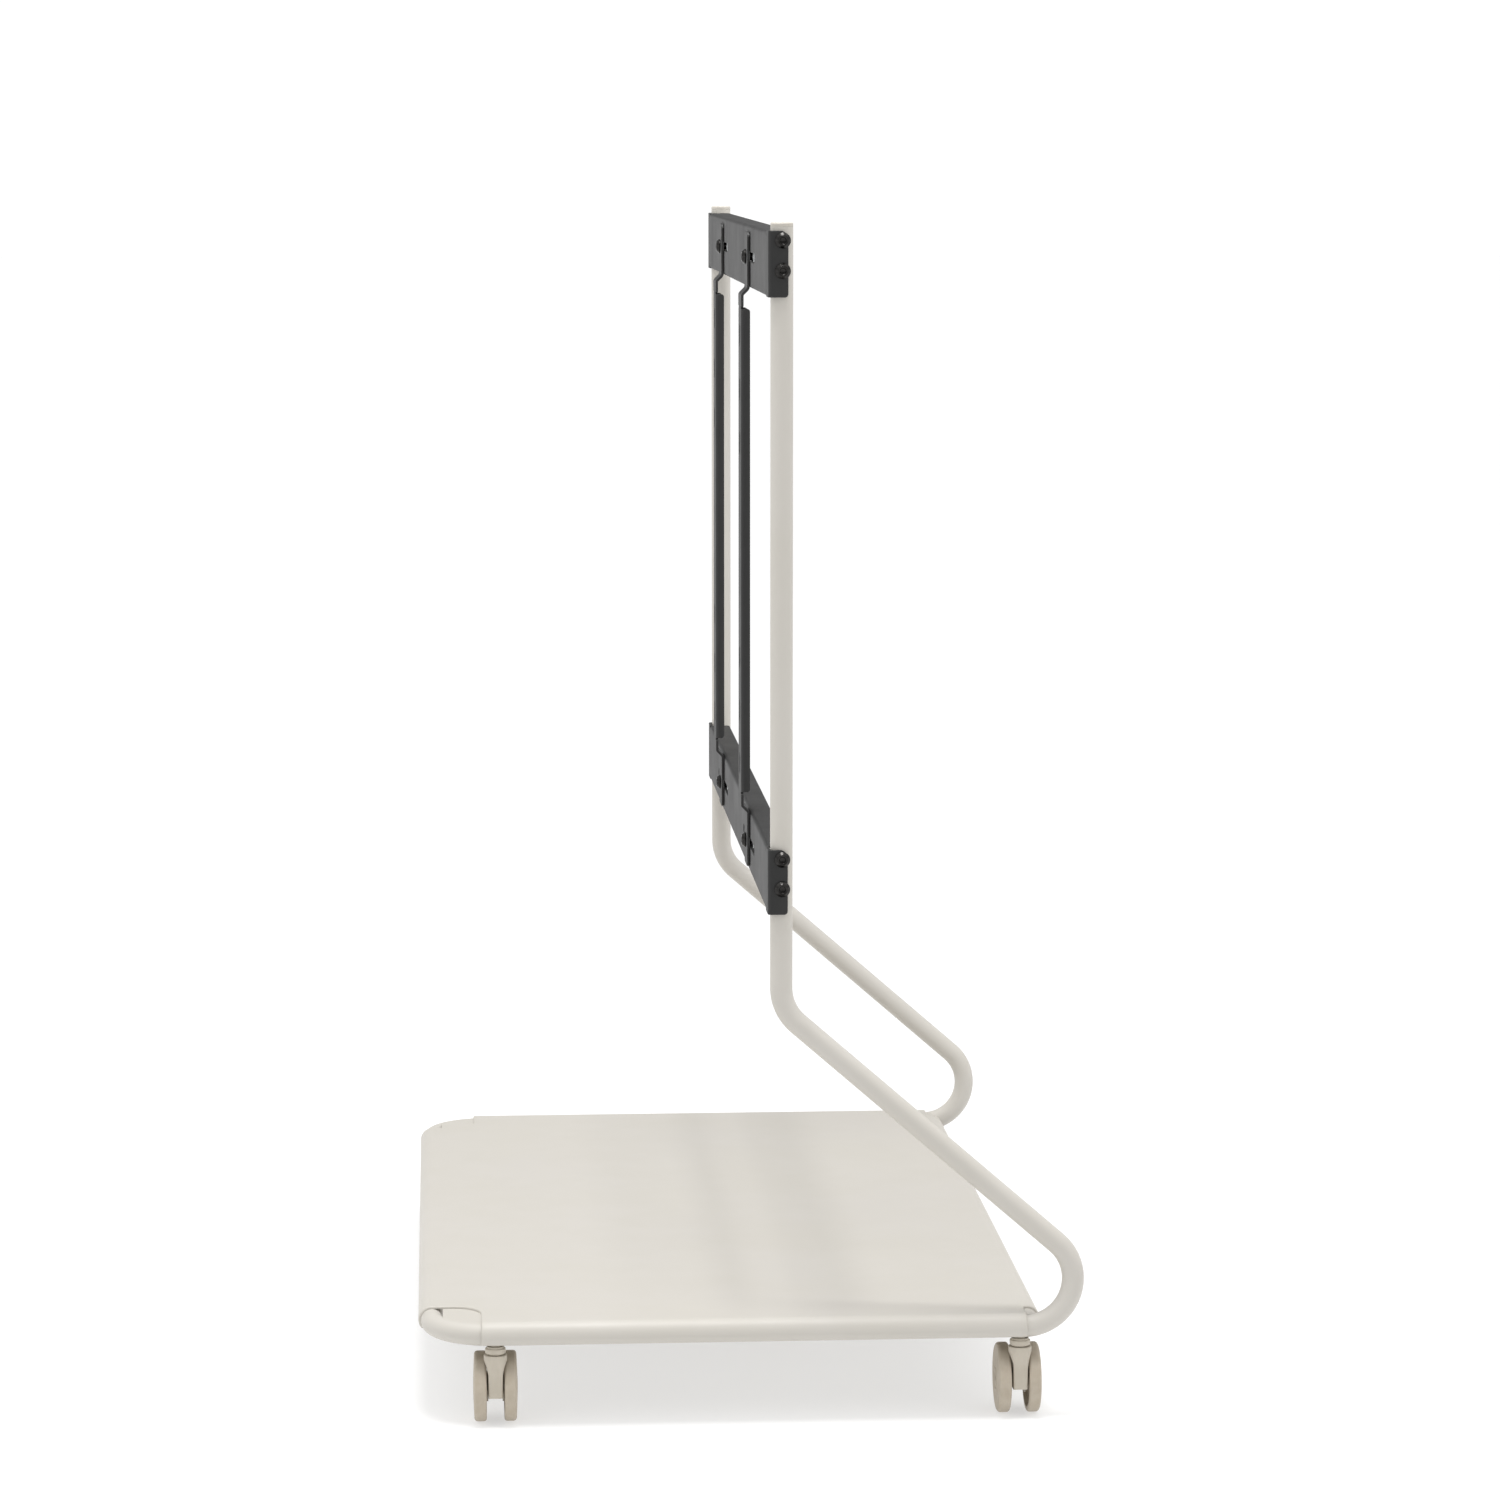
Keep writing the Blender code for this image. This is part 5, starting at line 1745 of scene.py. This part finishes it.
        v = (half - edge)[:, None] * h + edge[:, None] * np.sin(t)
        away = np.hypot(u - self.trail, z[:, None] - self.wheel) - self.wheel - self.running
        v = np.sign(v) * np.minimum(np.abs(v), self.web + self.web_slope * np.maximum(0.0, away))
        heights = np.broadcast_to(z[:, None], u.shape)
        grid = np.stack([pin[0] + corner.inward * u, pin[1] + v, heights], axis=2)
        poles = tuple(grid[k].mean(axis=0) for k in (0, -1))
        add_piece(node, [grid_surface(grid, poles), *self.lands(corner, pin)], CREAM_NYLON)

    def lands(self, corner: Corner, pin: np.ndarray) -> list[Surface]:
        """Return the raised rings round the axle on both sides of the yoke's web.

        Args:
            corner: the caster.
            pin: middle of its stem.

        Returns:
            Two closed surfaces.
        """
        corners = [(self.bore, 0.0), (self.land, 0.0), (self.land, self.land_height),
                   (self.bore, self.land_height)]
        profile = fillet(corners, [0.2 * MM, 0.1 * MM, 0.6 * MM, 0.2 * MM], 4, closed=True)
        axle = np.array([pin[0] + corner.inward * self.trail, pin[1], self.wheel])
        return [turned(profile, axle + way * self.web * Y_AXIS, way * Y_AXIS, self.land_sides, ring=True)
                for way in (-1.0, 1.0)]

    def build_wheel(self, corner: Corner, way: float) -> None:
        """Build one wheel: a rounded tread, a slightly domed outer face and a hollow inner face.

        A shallow groove round the hub parts the outer face. groove_edges says how far its four
        edges lie outside the hub's radius, from the tread's side inwards.

        Args:
            corner: the caster.
            way: -1 for the wheel on the front side of its axle and 1 for the other.
        """
        node = f"{corner.word}_{'fore' if way < 0.0 else 'aft'}_wheel"
        middle = box_of(node)[2]
        origin = np.array([middle[0], middle[1] - way * self.width / 2.0, self.wheel])
        r, w = self.wheel, self.width
        edges = [self.hub + edge for edge in self.groove_edges]
        corners = [(self.bore, 0.0), (self.hub, 0.0), (self.hub + self.hub_foot, self.dish),
                   (r - self.tread_foot, self.dish), (r - self.tread, 0.0), (r, 0.0), (r, w - self.dome),
                   (edges[0], w - self.groove_lip), (edges[1], w - self.groove),
                   (edges[2], w - self.groove), (edges[3], w), (self.bore, w)]
        radii = [0.3 * MM, 0.5 * MM, 1.0 * MM, 1.2 * MM, 0.6 * MM, 2.4 * MM, 3.2 * MM, 0.4 * MM, 0.3 * MM,
                 0.3 * MM, 0.4 * MM, 0.4 * MM]
        profile = fillet(corners, radii, 6, closed=True)
        wheel = turned(profile, origin, way * Y_AXIS, self.wheel_sides, ring=True)
        add_piece(node, [wheel], CREAM_TREAD)

    def build_axle(self, corner: Corner) -> None:
        """Build the axle pin with its rounded ends.

        Args:
            corner: the caster.
        """
        node = f"{corner.word}_caster_axle"
        low, high, middle = box_of(node)
        half = (high[1] - low[1]) / 2.0
        corners = [(0.0, -half), (self.axle, -half), (self.axle, half), (0.0, half)]
        profile = fillet(corners, [0.0, 0.5 * MM, 0.5 * MM, 0.0], 4)
        origin = np.array([middle[0], middle[1], self.wheel])
        add_piece(node, [turned(profile, origin, Y_AXIS, self.axle_sides)], BRIGHT_ZINC)

    def build(self) -> None:
        """Build the four casters."""
        for corner in Corner:
            self.build_stem(corner)
            self.build_yoke(corner)
            self.build_axle(corner)
            for way in (-1.0, 1.0):
                self.build_wheel(corner, way)


@dataclass
class Studio:
    """Plain pale floor, soft white light from all round and the camera.

    The surround's strength is horizon, walls or ceiling by how steeply a direction rises, with
    soft steps between them over wall_rise and ceiling_rise, and sides is added to left and right.
    """

    eye: tuple[float, float, float] = (4.5983, -0.2752, 1.1540)
    heading: float = math.radians(3.764)
    dip: float = math.radians(7.441)
    lens: float = 113.73
    sensor: float = 36.0
    floor_half: float = 40.0
    floor_glow: float = 0.53
    floor_roughness: float = 0.85
    floor_specular: float = 0.1
    floor_clouds: float = 3.0
    floor_tones: tuple[str, str] = ("#B7B7B7", "#BABABA")
    key_size: float = 0.9
    key_place: tuple[float, float, float] = (0.62, -0.10, 3.2)
    key_power: float = 58.0
    horizon: float = 1.05
    walls: float = 0.22
    ceiling: float = 1.08
    sides: float = 0.75
    wall_rise: tuple[float, float] = (0.04, 0.16)
    ceiling_rise: tuple[float, float] = (0.40, 0.75)

    def build_floor(self) -> None:
        """Build the floor: a wide pale sheet, lit from below like a light table."""
        mesh = bpy.data.meshes.new("floor")
        half = self.floor_half
        mesh.from_pydata([(-half, -half, 0.0), (half, -half, 0.0), (half, half, 0.0), (-half, half, 0.0)],
                         [], [(0, 1, 2, 3)])
        material = bpy.data.materials.new("pale_floor")
        material.use_nodes = True
        tree = material.node_tree
        shader = tree.nodes["Principled BSDF"]
        shader.inputs["Roughness"].default_value = self.floor_roughness
        shader.inputs["Specular IOR Level"].default_value = self.floor_specular
        shader.inputs["Emission Color"].default_value = (1.0, 1.0, 1.0, 1.0)
        shader.inputs["Emission Strength"].default_value = self.floor_glow
        place = add_node(tree, "ShaderNodeTexCoord", {}, {}).outputs["Object"]
        noise = add_node(tree, "ShaderNodeTexNoise", {"Scale": self.floor_clouds},
                         {"Vector": place}).outputs[0]
        dark, pale = (linear(tone) for tone in self.floor_tones)
        tone = add_node(tree, "ShaderNodeMix", {"data_type": "RGBA", 6: dark, 7: pale},
                        {0: noise}).outputs[2]
        tree.links.new(tone, shader.inputs["Base Color"])
        mesh.materials.append(material)
        floor = bpy.data.objects.new("floor", mesh)
        bpy.context.scene.collection.objects.link(floor)

    def build_light(self) -> None:
        """Light the stand from a white surround and a wide lamp overhead."""
        world = bpy.data.worlds.new("white_surround")
        world.use_nodes = True
        tree = world.node_tree
        background = tree.nodes["Background"]
        background.inputs["Color"].default_value = (1.0, 1.0, 1.0, 1.0)
        way = add_node(tree, "ShaderNodeTexCoord", {}, {}).outputs["Generated"]
        parts = add_node(tree, "ShaderNodeSeparateXYZ", {}, {0: way}).outputs
        rise = parts["Z"]
        low = add_node(tree, "ShaderNodeMapRange",
                       {"interpolation_type": "SMOOTHSTEP", "From Min": self.wall_rise[0],
                        "From Max": self.wall_rise[1], "To Min": self.horizon,
                        "To Max": self.walls}, {"Value": rise}).outputs[0]
        high = add_node(tree, "ShaderNodeMapRange",
                        {"interpolation_type": "SMOOTHSTEP", "From Min": self.ceiling_rise[0],
                         "From Max": self.ceiling_rise[1], "To Min": 0.0,
                         "To Max": self.ceiling - self.walls}, {"Value": rise}).outputs[0]
        across = add_node(tree, "ShaderNodeMath", {"operation": "MULTIPLY"},
                          {0: parts["Y"], 1: parts["Y"]}).outputs[0]
        total = add_node(tree, "ShaderNodeMath", {"operation": "ADD"}, {0: low, 1: high}).outputs[0]
        total = add_node(tree, "ShaderNodeMath", {"operation": "MULTIPLY_ADD", 1: self.sides},
                         {0: across, 2: total}).outputs[0]
        tree.links.new(total, background.inputs["Strength"])
        bpy.context.scene.world = world
        lamp = bpy.data.lights.new("overhead", "AREA")
        lamp.shape = "SQUARE"
        lamp.size = self.key_size
        lamp.energy = self.key_power
        holder = bpy.data.objects.new("overhead", lamp)
        holder.location = self.key_place
        holder.rotation_euler = (0.0, math.atan2(self.key_place[0], self.key_place[2]), 0.0)
        bpy.context.scene.collection.objects.link(holder)

    def build_camera(self) -> None:
        """Place the camera where the fitted view has it."""
        data = bpy.data.cameras.new("camera")
        data.sensor_width = self.sensor
        data.lens = self.lens
        camera = bpy.data.objects.new("camera", data)
        camera.location = self.eye
        look = Vector((-math.cos(self.heading) * math.cos(self.dip),
                       math.sin(self.heading) * math.cos(self.dip), -math.sin(self.dip)))
        camera.rotation_mode = "QUATERNION"
        camera.rotation_quaternion = look.to_track_quat("-Z", "Y")
        bpy.context.scene.collection.objects.link(camera)
        bpy.context.scene.camera = camera

    def build(self) -> None:
        """Build the floor, the light and the camera."""
        self.build_camera()
        self.build_floor()
        self.build_light()
        bpy.context.scene.view_settings.view_transform = "Standard"


def main() -> None:
    """Build the studio and every sub-assembly in order."""
    logging.basicConfig(level=logging.INFO, format="%(message)s")
    Studio().build()
    for assembly in (SideFrames(), BaseShelf(), Rails(), Arms(), Fasteners(), Casters()):
        log.info("building %s", type(assembly).__name__)
        assembly.build()


if __name__ == "__main__":
    main()
